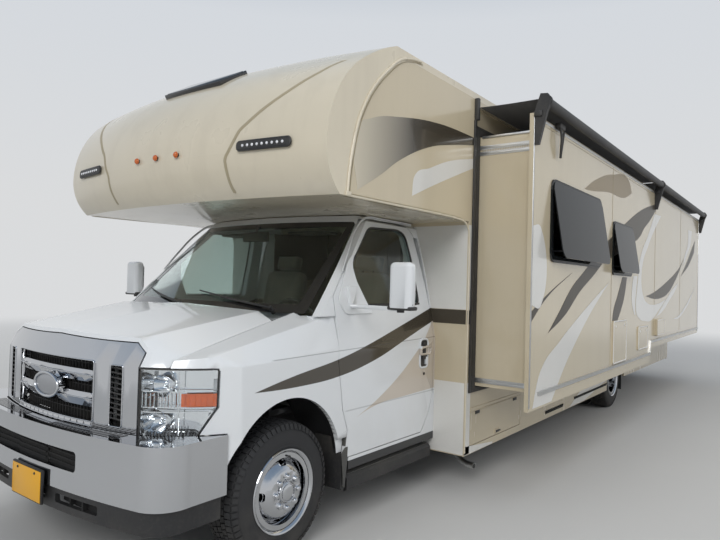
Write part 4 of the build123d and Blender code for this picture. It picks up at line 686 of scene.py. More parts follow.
slideFilm = {
    "dark": (
        (((1.627, 1.324), (1.991, 1.462), (2.486, 1.615), (1.892, 1.404), (1.631, 1.255)), (0, 2, 4)),
        (((1.967, 1.163), (2.22, 1.325), (2.48, 1.495), (2.8, 1.635), (3.38, 1.89), (3.74, 2.022),
          (4.11, 2.152), (4.81, 2.37), (5.35, 2.49), (5.804, 2.566), (5.6, 2.455), (5.27, 2.296),
          (5.0, 2.188), (4.83, 2.094), (4.5, 1.99), (4.0, 1.865), (3.6, 1.785), (3.36, 1.726), (3.06, 1.604),
          (2.69, 1.463), (2.336, 1.284)), (0, 9)),
        (((4.08, 1.62), (3.89, 1.423), (3.76, 1.294), (3.72, 1.19), (3.9, 1.18), (4.07, 1.315), (4.17, 1.431),
          (4.26, 1.62)), (0, 3, 4, 7)),
        (((5.15, 1.425), (5.59, 1.391), (6.02, 1.4), (6.48, 1.463), (6.86, 1.587), (7.25, 1.758),
          (7.64, 1.975), (7.32, 1.837), (6.91, 1.724), (6.41, 1.616), (5.9, 1.518), (5.44, 1.45)), (0, 6)),
        (((8.66, 2.306), (8.24, 2.094), (7.92, 1.927), (7.44, 1.712), (8.09, 1.893), (8.59, 2.114)),
         (0, 3, 5)),
    ),
    "white": (
        (((1.685, 0.655), (1.822, 0.895), (2.23, 1.09), (2.5, 1.195), (2.97, 1.36), (3.58, 1.558),
          (3.24, 1.4), (2.9, 1.228), (2.62, 1.063), (2.36, 0.894), (2.063, 0.655)), (0, 5, 10)),
        (((1.618, 1.916), (1.782, 1.912), (1.814, 1.369), (1.618, 1.371)), (0, 3)),
        (((5.56, 2.415), (5.21, 2.124), (4.93, 1.931), (4.79, 1.765), (4.76, 1.63), (4.71, 1.489),
          (4.67, 1.353), (4.7, 1.245), (4.84, 1.178), (5.13, 1.14), (5.46, 1.137), (5.68, 1.189),
          (5.97, 1.271), (6.31, 1.376), (5.91, 1.334), (5.55, 1.32), (5.25, 1.341), (5.06, 1.399),
          (4.93, 1.53), (4.91, 1.65), (4.98, 1.813), (5.2, 1.988), (5.48, 2.176), (5.93, 2.427)),
         (0, 13, 23)),
        (((4.54, 1.641), (4.48, 1.488), (4.49, 1.355), (4.6, 1.229), (4.65, 1.222), (4.635, 1.353),
          (4.67, 1.489), (4.72, 1.646)), (0, 3, 4, 7)),
        (((5.76, 1.171), (6.15, 1.234), (6.55, 1.356), (7.0, 1.502), (7.2, 1.604), (6.73, 1.5), (6.37, 1.381),
          (6.03, 1.27)), (0, 4)),
        (((8.0, 2.43), (8.34, 2.438), (8.23, 2.233), (7.91, 2.049), (7.58, 1.86), (7.75, 2.04),
          (7.99, 2.217)), (0, 1, 4)),
        (((6.9, 1.113), (7.24, 1.134), (7.83, 1.265), (8.31, 1.411), (8.65, 1.54), (8.23, 1.342),
          (7.75, 1.199), (7.38, 1.117), (7.1, 1.1)), (0, 4)),
    ),
    "haze": (
        (((2.77, 2.328), (3.08, 2.45), (3.66, 2.59), (4.27, 2.622), (4.41, 2.512), (4.1, 2.424), (3.52, 2.4),
          (2.96, 2.339)), (0, 4)),
    ),
}
for layer, (shade, filmFinish) in enumerate((("haze", "haze"), ("dark", "brown"), ("white", "white"))):
    bm = bmesh.new()
    for points, sharp in slideFilm[shade]:
        addFilm(bm, points, sidePlane(slide["face"] + 0.0006 + 0.0004 * layer), sharp=sharp)
    makePiece("slideSwoosh_" + shade, bm, "slide_out", filmFinish)
print("slide films made")

# films on the over-cab side, the skirts, the front wall and the blank side

sideFilm = {
    "proud": 0.0007,
    "over": {
        "fadedBrown": (((0.188, 2.327), (0.341, 2.418), (0.625, 2.49), (1.106, 2.558), (1.623, 2.572),
                        (1.6, 2.514), (1.249, 2.446), (0.984, 2.381), (0.637, 2.234), (0.433, 2.111),
                        (0.221, 1.996)),
                       (4, 5, 10)),
        "white": (((0.781, 2.037), (0.81, 2.171), (0.99, 2.245), (1.254, 2.338), (1.6, 2.415), (1.6, 2.345),
                   (1.26, 2.222), (0.996, 2.123)), (0, 4, 5)),
    },
    "skirt": (((1.562, 0.272), (1.562, 0.335), (2.04, 0.285), (2.04, 0.272)),
              ((4.9, 0.62), (5.29, 0.62), (5.29, 0.4), (4.4, 0.275), (3.9, 0.275))),
    "strip": {"white": ((1.562, 1.64, 1.315, 1.93), (1.562, 1.64, 0.275, 0.79)),
              "brown": ((1.562, 1.64, 1.212, 1.312),)},
    "wall": {"white": ((0.7, 1.25, 1.318, 1.93), (0.8, 1.25, 0.275, 0.79)),
             "brown": ((0.9, 1.25, 1.212, 1.315),)},
    "blank": {
        "brown": (
            (((1.62, 1.28), (2.4, 1.44), (3.42, 1.4), (3.42, 1.34), (2.4, 1.33), (1.62, 1.12)),
             (0, 2, 3, 5)),
            (((4.2, 1.25), (5.4, 1.02), (6.6, 1.16), (8.9, 1.62), (9.05, 1.8), (9.05, 1.3), (7.6, 1.07),
              (6.0, 0.98), (4.2, 1.05)), (0, 4, 5, 8)),
        ),
        "white": (
            (((1.62, 1.08), (2.5, 1.26), (3.42, 1.26), (3.42, 1.18), (2.5, 1.1), (1.62, 0.86)),
             (0, 2, 3, 5)),
            (((4.2, 0.99), (5.7, 0.93), (7.6, 1.01), (9.05, 1.22), (9.05, 1.07), (7.4, 0.9), (5.7, 0.84),
              (4.2, 0.89)), (0, 3, 4, 7)),
        ),
    },
}
sideAt = sidePlane(coach["half"] + sideFilm["proud"])
for shade, (points, sharp) in sideFilm["over"].items():
    bm = bmesh.new()
    addFilm(bm, points, sideAt, sharp=sharp)
    mirrorAll(bm)
    makePiece("capSwoosh_" + shade, bm, "coach", shade)
for shade in ("white", "brown"):
    bm = bmesh.new()
    for limits in sideFilm["strip"][shade]:
        addFilm(bm, corners(*limits), sideAt)
    for limits in sideFilm["wall"][shade]:
        addFilm(bm, corners(*limits), frontPlane(coach["front"] - sideFilm["proud"]))
    if shade == "white":
        for points in sideFilm["skirt"]:
            addFilm(bm, points, sideAt)
    mirrorAll(bm)
    for points, sharp in sideFilm["blank"][shade]:
        addFilm(bm, points, sidePlane(-coach["half"] - sideFilm["proud"]), sharp=sharp)
    makePiece("coachFilm_" + shade, bm, "coach", shade)
print("other films made")

# front: a dark sheet behind the grille's openings as painted shade, fins, oval badge plate, lamps

grille = {
    "half": 0.405,
    "bars": ((0.709, 0.767), (0.832, 0.903), (0.955, 1.017)),
    "gaps": ((0.767, 0.832), (0.903, 0.955), (1.017, 1.069)),
    "vents": ((0.505, 0.585, 0.762, 1.06), (-0.585, -0.505, 0.762, 1.06)),
    "fins": 11,
    "finTilt": -22,
    "louvres": (29, -0.385, 0.0275),          # how many, where the first stands, and the gap
    "badge": (0.0, 0.911, 0.122, 0.06),       # middle x and z, half width and half height
    "bead": 0.0035,
}


def noseRow(count, start, gap):
    # places in a row across the nose
    for x in (start + step * gap for step in range(count)):
        yield x, noseY(x)


# painted shade: a near-black sheet behind the grille's gaps and side vents
bm = bmesh.new()
for low, high in grille["gaps"]:
    wrapFilm(bm, corners(-grille["half"], grille["half"], low - 0.012, high + 0.012), noseY, -0.075, 0.004,
             0.1)
for x0, x1, z0, z1 in grille["vents"][::-1]:
    wrapFilm(bm, corners(x0 - 0.012, x1 + 0.012, z0 - 0.008, z1 + 0.008), noseY, -0.052, 0.004, 0.05)
makePiece("grilleShadeSheet", bm, "coach", "paintedShade")

bm = bmesh.new()
for x0, x1, z0, z1 in grille["vents"][::-1]:
    x = (x0 + x1) / 2
    for row in range(grille["fins"]):
        z = z0 + 0.028 + row * (z1 - z0 - 0.05) / (grille["fins"] - 1)
        place = Matrix.Translation((0, noseY(x) + 0.026, z)) @ Matrix.Rotation(radians(grille["finTilt"]), 4, "X")
        roundBox(bm, (x - 0.0395, -0.02, -0.004), (x + 0.0395, 0.016, 0.004), 0.0015, 2, place)
for low, high in grille["gaps"]:
    for x, y in noseRow(*grille["louvres"]):
        addBox(bm, (x - 0.0014, y + 0.05, low - 0.006), (x + 0.0014, y + 0.062, high + 0.006))
    middle = (low + high) / 2
    wrapFilm(bm, corners(-0.395, 0.395, middle - 0.0014, middle + 0.0014), noseY, -0.057, 0.01, 0.06)
makePiece("grilleFins", bm, "coach", "black")

bm = bmesh.new()
x, z, width, height = grille["badge"]
rim = ellipse((x, nose["front"] - 0.014, z), (width + 0.001, 0, 0), (0, 0, height + 0.001), 40)
addTube(bm, rim, 0.0085, 3, closed=True)
for low, high in grille["bars"]:
    along = [-0.388 + 0.0485 * step for step in range(17)]
    addTube(bm, [(spot, noseY(spot) - 0.002, low + 0.62 * (high - low)) for spot in along], grille["bead"])
makePiece("badgeRing", bm, "coach", "chrome", smooth=60)
bm = bmesh.new()
addDome(bm, (x, nose["front"] - 0.0105, z), (width - 0.006, 0.01, height - 0.006), 20)
makePiece("badgeBlank", bm, "coach", "satin", smooth=60)

# bright beads round the openings
bm = bmesh.new()
for side in (-1, 1):
    x0, x1, z0, z1 = grille["vents"][0]
    ringTube(bm, [(side * x, z) for x, z in roundCorners(x0, x1, z0, z1, 0.012)], onNose(0.001),
             grille["bead"])
opening = roundCorners(-0.39, 0.39, 0.766, 1.069, 0.014)
flat = spread([onNose(0.001)(*mark) for mark in opening], 0.06)
spaced = [(spot.x, noseY(spot.x) - 0.001, spot.z) for spot in flat]
addTube(bm, spaced, grille["bead"], 2, closed=True, straight=True)
makePiece("grilleBeads", bm, "coach", "chrome", smooth=60)
print("grille made")

lamp = {
    "outline": ((0.684, 0.7), (0.88, 0.7), (0.948, 0.872), (0.948, 1.055), (0.684, 1.055)),
    "middle": (0.815, 0.885),
    "amber": (0.836, 0.943, 0.876, 0.938),
    "deep": 0.115,
    "flutes": (11, 0.7, 0.0135),              # how many, where the first stands, and the gap
    "fluteTilt": 14,
    "ribs": (8, 0.7, 0.016),
    "amberRibs": (6, 0.849, 0.0165),
    "bowls": ((0.752, 0.972, 0.062), (0.742, 0.8, 0.064)),
    "shelves": ((0.702, 0.876), (0.846, 0.94), (0.868, 0.94), (0.944, 0.94), (1.046, 0.94)),
}


def lampEdge(grow):
    # the lamp's outline grown by an amount and finely stepped
    middle = Vector(lamp["middle"])
    marks = [Vector(mark) for mark in lamp["outline"]]
    points = []
    for here, there in zip(marks, marks[1:] + marks[:1]):
        for step in range(10):
            spot = here.lerp(there, step / 10)
            points.append(spot + (spot - middle).normalized() * grow * 1.3)
    return points


bm = bmesh.new()
wrapFilm(bm, lampEdge(-0.003), noseY, -0.004, 0.003, 0.02)
mirrorAll(bm)
makePiece("lampCover", bm, "coach", "lens", smooth=60)

bm = bmesh.new()
ringTube(bm, lampEdge(-0.001), lambda x, z: (x, noseY(x, z) + 0.002, z), 0.0035)
mirrorAll(bm)
makePiece("lampRim", bm, "coach", "rubber", smooth=60)

# the lamp's inside: back, side walls, bowls with bulbs, shelves and flutes
bm = bmesh.new()
wrapFilm(bm, lampEdge(-0.004), noseY, -0.1, 0.002, 0.03)
walls = bmesh.new()
loop = [walls.verts.new((spot.x, noseY(spot.x, spot.y) + 0.007, spot.y)) for spot in lampEdge(-0.003)]
rim = [walls.edges.new(pair) for pair in zip(loop, loop[1:] + loop[:1])]
pushed = bmesh.ops.extrude_edge_only(walls, edges=rim)["geom"]
bmesh.ops.translate(walls, verts=ofKind(pushed, BMVert), vec=(0, lamp["deep"] - 0.012, 0))
bmesh.ops.solidify(walls, geom=walls.faces[:], thickness=0.002)
joinInto(bm, walls)
for x, z, radius in lamp["bowls"]:
    bowl = bmesh.new()
    shares = [share / 8 for share in range(9)]
    profile = [(0.062 * (1 - share ** 1.6), radius * share + 0.012 * (1 - share)) for share in shares]
    outside = [(along + 0.002, reach + 0.001) for along, reach in profile[::-1]]
    spinProfile(bowl, profile + outside, (0, 0, 0), 40, (0, 1, 0))
    bmesh.ops.scale(bowl, verts=bowl.verts, vec=(1.0, 1.0, 0.86))
    front = noseY(x, z)
    joinInto(bm, bowl, Matrix.Translation((x, front + 0.03, z)))
    addCylinder(bm, (x, front + 0.095, z), (x, front + 0.052, z), 0.012, 20, 0.01)
    addDome(bm, (x, front + 0.052, z), (0.01, 0.01, 0.01), 8)
for z, outer in lamp["shelves"]:
    wrapFilm(bm, corners(0.69, outer, z, z + 0.005), noseY, -0.052, 0.07, 0.03)
tilt = Matrix.Rotation(radians(lamp["fluteTilt"]), 3, "Y")
for x, y in noseRow(*lamp["flutes"]):
    flute = addBox(bm, (x, y + 0.02, 0.712), (x + 0.004, y + 0.032, 0.758))
    bmesh.ops.rotate(bm, verts=flute, cent=(x, 0, 0.735), matrix=tilt)
for x, y in noseRow(*lamp["ribs"]):
    addBox(bm, (x, y + 0.018, 0.874), (x + 0.0035, y + 0.026, 0.94))
addTube(bm, [onNose(-0.012)(0.828, z) for z in (0.71, 0.88, 1.045)], 0.003, 2, straight=True)
mirrorAll(bm)
makePiece("lampReflector", bm, "coach", "mirrorBright", smooth=40, replaces=("headlights",))

bm = bmesh.new()
wrapFilm(bm, corners(*lamp["amber"]), noseY, -0.014, 0.005, 0.015)
for x, y in noseRow(*lamp["amberRibs"]):
    addBox(bm, (x, y + 0.0095, 0.88), (x + 0.0022, y + 0.013, 0.934))
mirrorAll(bm)
makePiece("lampAmber", bm, "coach", "amber")
print("head lamps made")

# bumper: blank plate, painted shade in the upper slot and behind the valance's slots, ribbed treads

plate = {"x": (-0.105, 0.195), "y": -0.905, "z": (0.357, 0.51)}
bumper = {"front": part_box("front_bumper")[0].y - shift.y, "bow": 4.2}


def bumperY(x):
    return bumper["front"] + x * x / (2 * bumper["bow"])


(x0, x1), (z0, z1), y = plate["x"], plate["z"], plate["y"]
bm = bmesh.new()
roundBox(bm, (x0, y - 0.0015, z0), (x1, y + 0.0015, z1), 0.001, 2)
ring = roundCorners(x0, x1, z0, z1, 0.012, -0.006)
addTube(bm, [(across, y - 0.0012, up) for across, up in ring], 0.0012, 1, closed=True, straight=True)
makePiece("plateBlank", bm, "coach", "plate")
bm = bmesh.new()
roundBox(bm, (x0 - 0.008, y + 0.002, z0 - 0.008), (x1 + 0.008, y + 0.016, z1 + 0.008), 0.004, 2)
for x in (x0 + 0.06, x1 - 0.06):
    addCylinder(bm, (x, y - 0.005, z1 - 0.016), (x, y, z1 - 0.016), 0.006, 16, 0.007)
    addBox(bm, (x - 0.02, y + 0.01, z1 - 0.05), (x + 0.02, bumperY(x) + 0.03, z1 - 0.012))
makePiece("plateFrame", bm, "coach", "black")

# near-black sheets and bars in the bumper's slot and behind the valance: painted shade
bm = bmesh.new()
for x0, x1 in ((-0.43, -0.15), (-0.15, 0.15), (0.15, 0.43)):
    middle = bumperY((x0 + x1) / 2) + 0.035
    addBox(bm, (x0, middle, 0.545), (x1, middle + 0.004, 0.65))
    boxRow(bm, (x0, middle - 0.012, 0.566), (x1, middle, 0.572), (0, 0, 0.026), 3)
for x in (-0.42, 0.0, 0.42):
    front = bumperY(x)
    addBox(bm, (x - 0.17, front + 0.052, 0.366), (x + 0.17, front + 0.058, 0.418))
    boxRow(bm, (x - 0.066, front + 0.025, 0.37), (x - 0.054, front + 0.05, 0.414), (0.115, 0, 0), 2)
makePiece("bumperSlotShade", bm, "coach", "paintedShade")
bm = bmesh.new()
for side in (-1, 1):
    for row in range(16):
        x = side * (0.16 + row * 0.032)
        addBox(bm, (x - 0.012, bumperY(x) + 0.035, 0.7378), (x + 0.012, noseY(x) - 0.018, 0.7402))
makePiece("bumperTread", bm, "coach", "gloss")
print("bumper dressed")

# windscreen: black border, wipers, slotted cowl, inner mirror and sun visors

screenBands = (
    (((-0.8, 1.315), (-0.87, 1.315), (-0.765, 1.885), (-0.725, 1.885)), 0.02),
    (((0.8, 1.315), (0.87, 1.315), (0.765, 1.885), (0.725, 1.885)), 0.02),
    (((-0.87, 1.302), (0.87, 1.302), (0.855, 1.352), (-0.855, 1.352)), 0.04),
    (((-0.77, 1.866), (0.77, 1.866), (0.76, 1.902), (-0.76, 1.902)), 0.04),
)
bm = bmesh.new()
for band, step in screenBands:
    wrapFilm(bm, band, screenY, 0.0015, 0.001, step)
makePiece("screenBorder", bm, "coach", "gloss")

wiperReach = (((0.66, 1.322), (0.0, 1.405)), ((-0.08, 1.322), (-0.72, 1.405)))
bm = bmesh.new()
for foot, tip in wiperReach:
    line = []
    for step in range(9):
        x, z = Vector(foot).lerp(Vector(tip), step / 8)
        line.append(Vector((x, screenY(x, z) - 0.02, z + 0.006)))
    addTube(bm, line[:6], 0.0065)
    addTube(bm, [spot + Vector((0, 0.009, 0.003)) for spot in line[1:]], 0.0045)
    addCylinder(bm, (foot[0], line[0].y + 0.03, 1.3), (foot[0], line[0].y - 0.006, 1.334), 0.016, 20, 0.012)
makePiece("wipers", bm, "coach", "black", smooth=50)

bm = bmesh.new()
for x0, x1 in ((-0.59, -0.21), (-0.19, 0.19), (0.21, 0.59)):
    boxRow(bm, (x0, 0.022, 1.2665), (x1, 0.032, 1.2735), (0, 0.018, 0), 4)
makePiece("cowlSlots", bm, "coach", "black")

bm = bmesh.new()
roundBox(bm, (-0.13, 0.66, 1.765), (0.13, 0.685, 1.835), 0.01)
addTube(bm, ((0, 0.68, 1.8), (0, 0.68, 1.85), (0, 0.7, 1.885)), 0.008)
for x in (-0.36, 0.36):
    roundBox(bm, (x - 0.17, 0.8, 1.825), (x + 0.17, 0.96, 1.845), 0.008)
makePiece("cabFittings", bm, "coach", "fascia", smooth=50)
print("windscreen dressed")

# cab side: door handles, sail panels, window seals, drip rails, mirror glass, boards and flaps

door = {
    "window": ((0.65, 1.6), (0.668, 1.5), (0.756, 1.345), (1.395, 1.345), (1.395, 1.66), (1.378, 1.85),
               (1.3, 1.882), (0.925, 1.868)),
    "sail": ((0.47, 1.385), (0.52, 1.3), (0.8, 1.3), (0.756, 1.345), (0.668, 1.5), (0.65, 1.6), (0.7, 1.69),
             (0.61, 1.615)),
    "handle": (1.343, 1.449, 0.895, 1.098),
    "drip": ((0.545, 1.56), (0.64, 1.69), (0.79, 1.862), (0.905, 1.934), (1.1, 1.944), (1.49, 1.94)),
}
doorBody = {1: "left_cab_door", -1: "right_cab_door"}
label = {1: "left", -1: "right"}


def onDoor(out):
    return lambda y, z: (cabX(z) + out, y, z)


def doorPiece(name, side, bm, finish, smooth=40):
    makePiece(name + "_" + label[side], bm, doorBody[side], finish, smooth, side=side)


def rounded(points, radius, steps=4):
    # the outline with each corner cut to an arc
    marks = [Vector(point) for point in points]
    out = []
    for before, here, after in zip(marks[-1:] + marks[:-1], marks, marks[1:] + marks[:1]):
        back = (before - here).normalized() * min(radius, (before - here).length * 0.45)
        ahead = (after - here).normalized() * min(radius, (after - here).length * 0.45)
        for step in range(steps + 1):
            share = step / steps
            out.append(here + back * (1 - share) ** 2 + ahead * share ** 2)
    return out


sail = rounded(door["sail"], 0.03)
handle = roundCorners(*door["handle"], 0.03)
y0, y1, z0, z1 = door["handle"]
lockY = (y0 + y1) / 2 + 0.005
for side in (1, -1):
    bm = bmesh.new()
    ringTube(bm, rounded(door["window"], 0.05), onDoor(-0.004), 0.0075)
    addTube(bm, [onDoor(0.002)(y, 1.352) for y in (0.79, 1.39)], 0.007, 2, straight=True)
    doorPiece("windowSeal", side, bm, "rubber", 60)

    bm = bmesh.new()
    wrapFilm(bm, sail, cabX, 0.003, 0.012, 0.03)
    ringTube(bm, sail, onDoor(0.007), 0.004)
    doorPiece("sailPanel", side, bm, "satinWhite")

    bm = bmesh.new()
    ringTube(bm, handle, atSide(1.004), 0.008)
    roundBox(bm, (1.0, y1 - 0.04, z0 + 0.02), (1.02, y1 - 0.014, z0 + 0.075), 0.006)
    doorPiece("handleFrame", side, bm, "satinWhite", 60)
    bm = bmesh.new()
    addFilm(bm, handle, sidePlane(1.0045), 0.002)
    roundBox(bm, (1.006, y0 + 0.022, z0 + 0.06), (1.021, y0 + 0.062, z1 - 0.024), 0.006)
    addCylinder(bm, (1.005, lockY, z0 - 0.045), (1.01, lockY, z0 - 0.045), 0.01, 24)
    doorPiece("handleRecess", side, bm, "black")

    bm = bmesh.new()
    addBox(bm, (1.2845, 0.608, 1.385), (1.4055, 0.6105, 1.588))
    uprights = [edge for edge in bm.edges if abs((edge.verts[0].co - edge.verts[1].co).y) > 0.001]
    bmesh.ops.bevel(bm, geom=uprights, offset=0.022, segments=4, affect="EDGES", profile=0.5, material=-1)
    doorPiece("mirrorGlass", side, bm, "mirrorBright")
    bm = bmesh.new()
    roundBox(bm, (1.262, 0.528, 1.34), (1.428, 0.604, 1.362), 0.008)
    addTube(bm, [(1.27 + 0.15 * step / 8, 0.56, 1.372) for step in range(9)], 0.004)
    addCylinder(bm, (1.33, 0.575, 1.325), (1.33, 0.575, 1.345), 0.022, 24)
    doorPiece("mirrorFoot", side, bm, "black")

bm = bmesh.new()
addTube(bm, [onDoor(0.005)(*mark) for mark in door["drip"]], 0.005)
addTube(bm, [(cabX(z) + 0.003, y, z - 0.01) for y, z in door["drip"]], 0.003)
mirrorAll(bm)
makePiece("dripRail", bm, "coach", "satinWhite", smooth=60)

# running boards: ribbed tops
board = {"top": 0.3255, "from": 0.545, "to": 1.505, "inner": 0.815, "outer": 0.985, "ribs": 26}
top, start, end, inner, outer = (board[key] for key in ("top", "from", "to", "inner", "outer"))
bm = bmesh.new()
roundBox(bm, (inner - 0.006, start - 0.008, top - 0.004), (outer - 0.002, end + 0.008, top + 0.001), 0.001, 1)
for row in range(9):
    x = inner + (outer - inner) * row / 8
    roundBox(bm, (x - 0.004, start, top - 0.001), (x + 0.004, end, top + 0.0035), 0.0012, 1)
gap = (end - start - 0.04) / (board["ribs"] - 1)
boxRow(bm, (inner + 0.01, start + 0.018, top - 0.001), (outer - 0.01, start + 0.022, top + 0.002),
       (0, gap, 0), board["ribs"])
mirrorAll(bm)
makePiece("boardTread", bm, "coach", "grip")

# curved splash guards behind the front wheels, and their outer flaps
guard = {
    "sheet": ((0.498, 0.604), (0.51, 0.545), (0.512, 0.4), (0.497, 0.262), (0.506, 0.258), (0.524, 0.4),
              (0.523, 0.55), (0.51, 0.612)),
    "flap": ((0.468, 0.47), (0.497, 0.262), (0.506, 0.258), (0.526, 0.4), (0.528, 0.5), (0.5, 0.5)),
}
bm = bmesh.new()
addFilm(bm, guard["sheet"], sidePlane(0.897), 0.205, (0, 3, 4, 7))
addFilm(bm, guard["flap"], sidePlane(1.0045), 0.002)
mirrorAll(bm)
makePiece("splashGuard", bm, "coach", "grip", smooth=40)
print("cab sides dressed")

# tyres with tread and side lugs, and bright covers on the wheels

tyre = {
    "half": 0.1125,
    # inwards from the side face, then out from the wheel's middle
    "side": ((0.03, 0.2035), (0.012, 0.203), (0.004, 0.215), (0.0015, 0.232), (-0.001, 0.236),
             (-0.001, 0.241), (0.001, 0.245), (0.0, 0.2745), (0.0012, 0.2775), (0.0012, 0.281),
             (0.002, 0.284), (0.005, 0.312), (0.014, 0.335), (0.022, 0.348), (0.03, 0.3545), (0.045, 0.357)),
    "crown": 0.3578,
    "rows": ((-0.014, 0.014), (0.02, 0.049), (-0.049, -0.02), (0.054, 0.088), (-0.088, -0.054)),
    "lugs": ((-0.11, -0.084), (0.084, 0.11)),
    "blocks": 62,
}


def tyreBody():
    # one tyre about the origin, turning about X
    whole = bmesh.new()
    outer = [(tyre["half"] - inset, reach) for inset, reach in tyre["side"]]
    inner = [(-along, reach) for along, reach in reversed(outer)]
    spinProfile(whole, outer + [(0, tyre["crown"])] + inner, (0, 0, 0))
    sector = bmesh.new()
    pitch = 2 * pi / tyre["blocks"]
    for count, (low, high) in enumerate(tyre["rows"]):
        # slanted middle rows, and shoulder rows whose outer edges drop
        block = bmesh.new()
        for vert in addBox(block, (low, -0.0148, 0.351), (high, 0.0148, 0.3657)):
            if count < 3:
                vert.co.y += vert.co.x * 0.28
            elif abs(vert.co.x) > 0.08 and vert.co.z > 0.36:
                vert.co.z -= 0.007
        joinInto(sector, block, Matrix.Rotation(pitch / 2 * (count % 2), 4, "X"))
    for low, high in tyre["lugs"]:
        block = bmesh.new()
        for vert in addBox(block, (low, -0.0125, 0.325), (high, 0.0125, 0.353)):
            if vert.co.z > 0.34 and abs(vert.co.x) > 0.1:
                vert.co.x *= 0.097 / 0.11
        joinInto(sector, block, Matrix.Rotation(pitch / 2, 4, "X"))
    for count in range(tyre["blocks"]):
        joinInto(whole, sector.copy(), Matrix.Rotation(pitch * count, 4, "X"))
    sector.free()
    return whole


axles = {
    "front_left": ("front_tyre_left", "front_left_wheel", (0.8815,)),
    "front_right": ("front_tyre_right", "front_right_wheel", (-0.8815,)),
    "rear_left": ("rear_tyres_left", "rear_left_wheels", (1.1075, 0.8325)),
    "rear_right": ("rear_tyres_right", "rear_right_wheels", (-1.1075, -0.8325)),
}
cover = {
    "ring": ((0.1115, 0.2265), (0.1165, 0.2235), (0.1165, 0.22), (0.112, 0.213), (0.101, 0.205),
             (0.091, 0.1985), (0.086, 0.193), (0.084, 0.1935), (0.089, 0.2), (0.099, 0.2068), (0.1095, 0.215),
             (0.11, 0.2235)),
    "face": (0.9785, 0.127),                # where the cone of the wheel's face lies, and at which reach
    "slope": {1: -1.133, 2: 1.133},         # single wheels bulge, twin ones are dished
    "hole": (0.148, 0.0245, 0.013),         # its circle, and half axes round and out
    "lugEnd": {1: 1.024, 2: 1.016},
    "lugCircle": 0.0825,
    "caps": ((0.058, -0.006), (0.0475, 0.002)),
    "valve": (0.088, 0.182, 80),
}
oneTyre = tyreBody()
for name, (node, body, planes) in axles.items():
    low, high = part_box(node)
    middle = (low + high) / 2 - shift
    side = 1 if planes[0] > 0 else -1
    bm = bmesh.new()
    for plane in planes:
        joinInto(bm, oneTyre.copy(), Matrix.Translation((plane, middle.y, middle.z)))
    makePiece("treadTyre_" + name, bm, body, "tyre", smooth=28, replaces=(node,))

    # the shapes below are drawn for the driver's side
    bm = bmesh.new()
    outerPlane = abs(planes[0])
    spinProfile(bm, cover["ring"], (outerPlane, middle.y, middle.z))
    face, faceReach = cover["face"]
    circle, around, outwards = cover["hole"]
    slope = cover["slope"][len(planes)]
    for turn in range(4):
        angle = pi / 2 * turn
        out, along = Vector((0, cos(angle), sin(angle))), Vector((0, -sin(angle), cos(angle)))
        centre = Vector((face + (circle - faceReach) * slope, middle.y, middle.z)) + out * circle
        lip = ellipse(centre, along * around, (out + Vector((slope, 0, 0))) * outwards, 24)
        addTube(bm, lip, 0.0028, 2, closed=True)
    lugEnd = cover["lugEnd"][len(planes)]
    hub = Vector((lugEnd, middle.y, middle.z))
    for lug in ellipse(hub, (0, cover["lugCircle"], 0), (0, 0, cover["lugCircle"]), 8):
        addDome(bm, lug - Vector((0.001, 0, 0)), (0.0075, 0.0145, 0.0145), 7)
        seat = ellipse(lug - Vector((0.016, 0, 0)), (0, 0.0158, 0), (0, 0, 0.0158), 16)
        addTube(bm, seat, 0.0018, 1, closed=True)
    for reach, along in cover["caps"]:
        addTube(bm, ellipse(hub + Vector((along, 0, 0)), (0, reach, 0), (0, 0, reach), 40), 0.002, 1,
                closed=True)
    makePiece("wheelCover_" + name, bm, body, "chrome", smooth=40, side=side)

    bm = bmesh.new()
    along, reach, angle = cover["valve"]
    foot = Vector((outerPlane + along, middle.y + reach * cos(radians(angle)),
                   middle.z + reach * sin(radians(angle))))
    neck, tip = foot + Vector((0.022, 0, 0)), foot + Vector((0.03, 0, 0))
    addCylinder(bm, foot, neck, 0.0045, 14)
    addCylinder(bm, neck, tip, 0.0055, 14, 0.005)
    makePiece("valve_" + name, bm, body, "rubber", smooth=40, side=side)
oneTyre.free()
print("wheels made")

# over-cab cap: trim bead, sealant, front grooves, lamps, roof window

bead = {
    "front": ((0.134, 1.973), (0.146, 2.092), (0.167, 2.204), (0.205, 2.347), (0.263, 2.471), (0.361, 2.61),
              (0.506, 2.75), (0.609, 2.829), (0.73, 2.872), (0.847, 2.89)),
    "foot": ((0.14, 1.957), (1.41, 1.957), (1.492, 1.944), (1.545, 1.905), (1.566, 1.84), (1.566, 0.29)),
    "groove": ((0.596, 1.986), (0.598, 2.074), (0.596, 2.161), (0.691, 2.322), (0.813, 2.427), (0.949, 2.535),
               (1.069, 2.643), (1.15, 2.745)),
    "grooveHalf": 0.01,
    "led": (0.875, 2.225, 0.176, 0.019),      # middle x and z, half length and half height
    "markers": (-0.2, 0.0, 0.2),
    "marker": 0.0165,
}
half = coach["half"]
bm = bmesh.new()
addTube(bm, [(half + 0.003, y, z) for y, z in bead["front"]], 0.0085, 3)
roundBox(bm, (half - 0.004, 0.118, 1.952), (half + 0.012, 0.16, 1.978), 0.004, 2)
addTube(bm, [(half + 0.001, y, z) for y, z in bead["foot"]], 0.0065)
mirrorAll(bm)
makePiece("trimBead", bm, "coach", "cream", smooth=60)

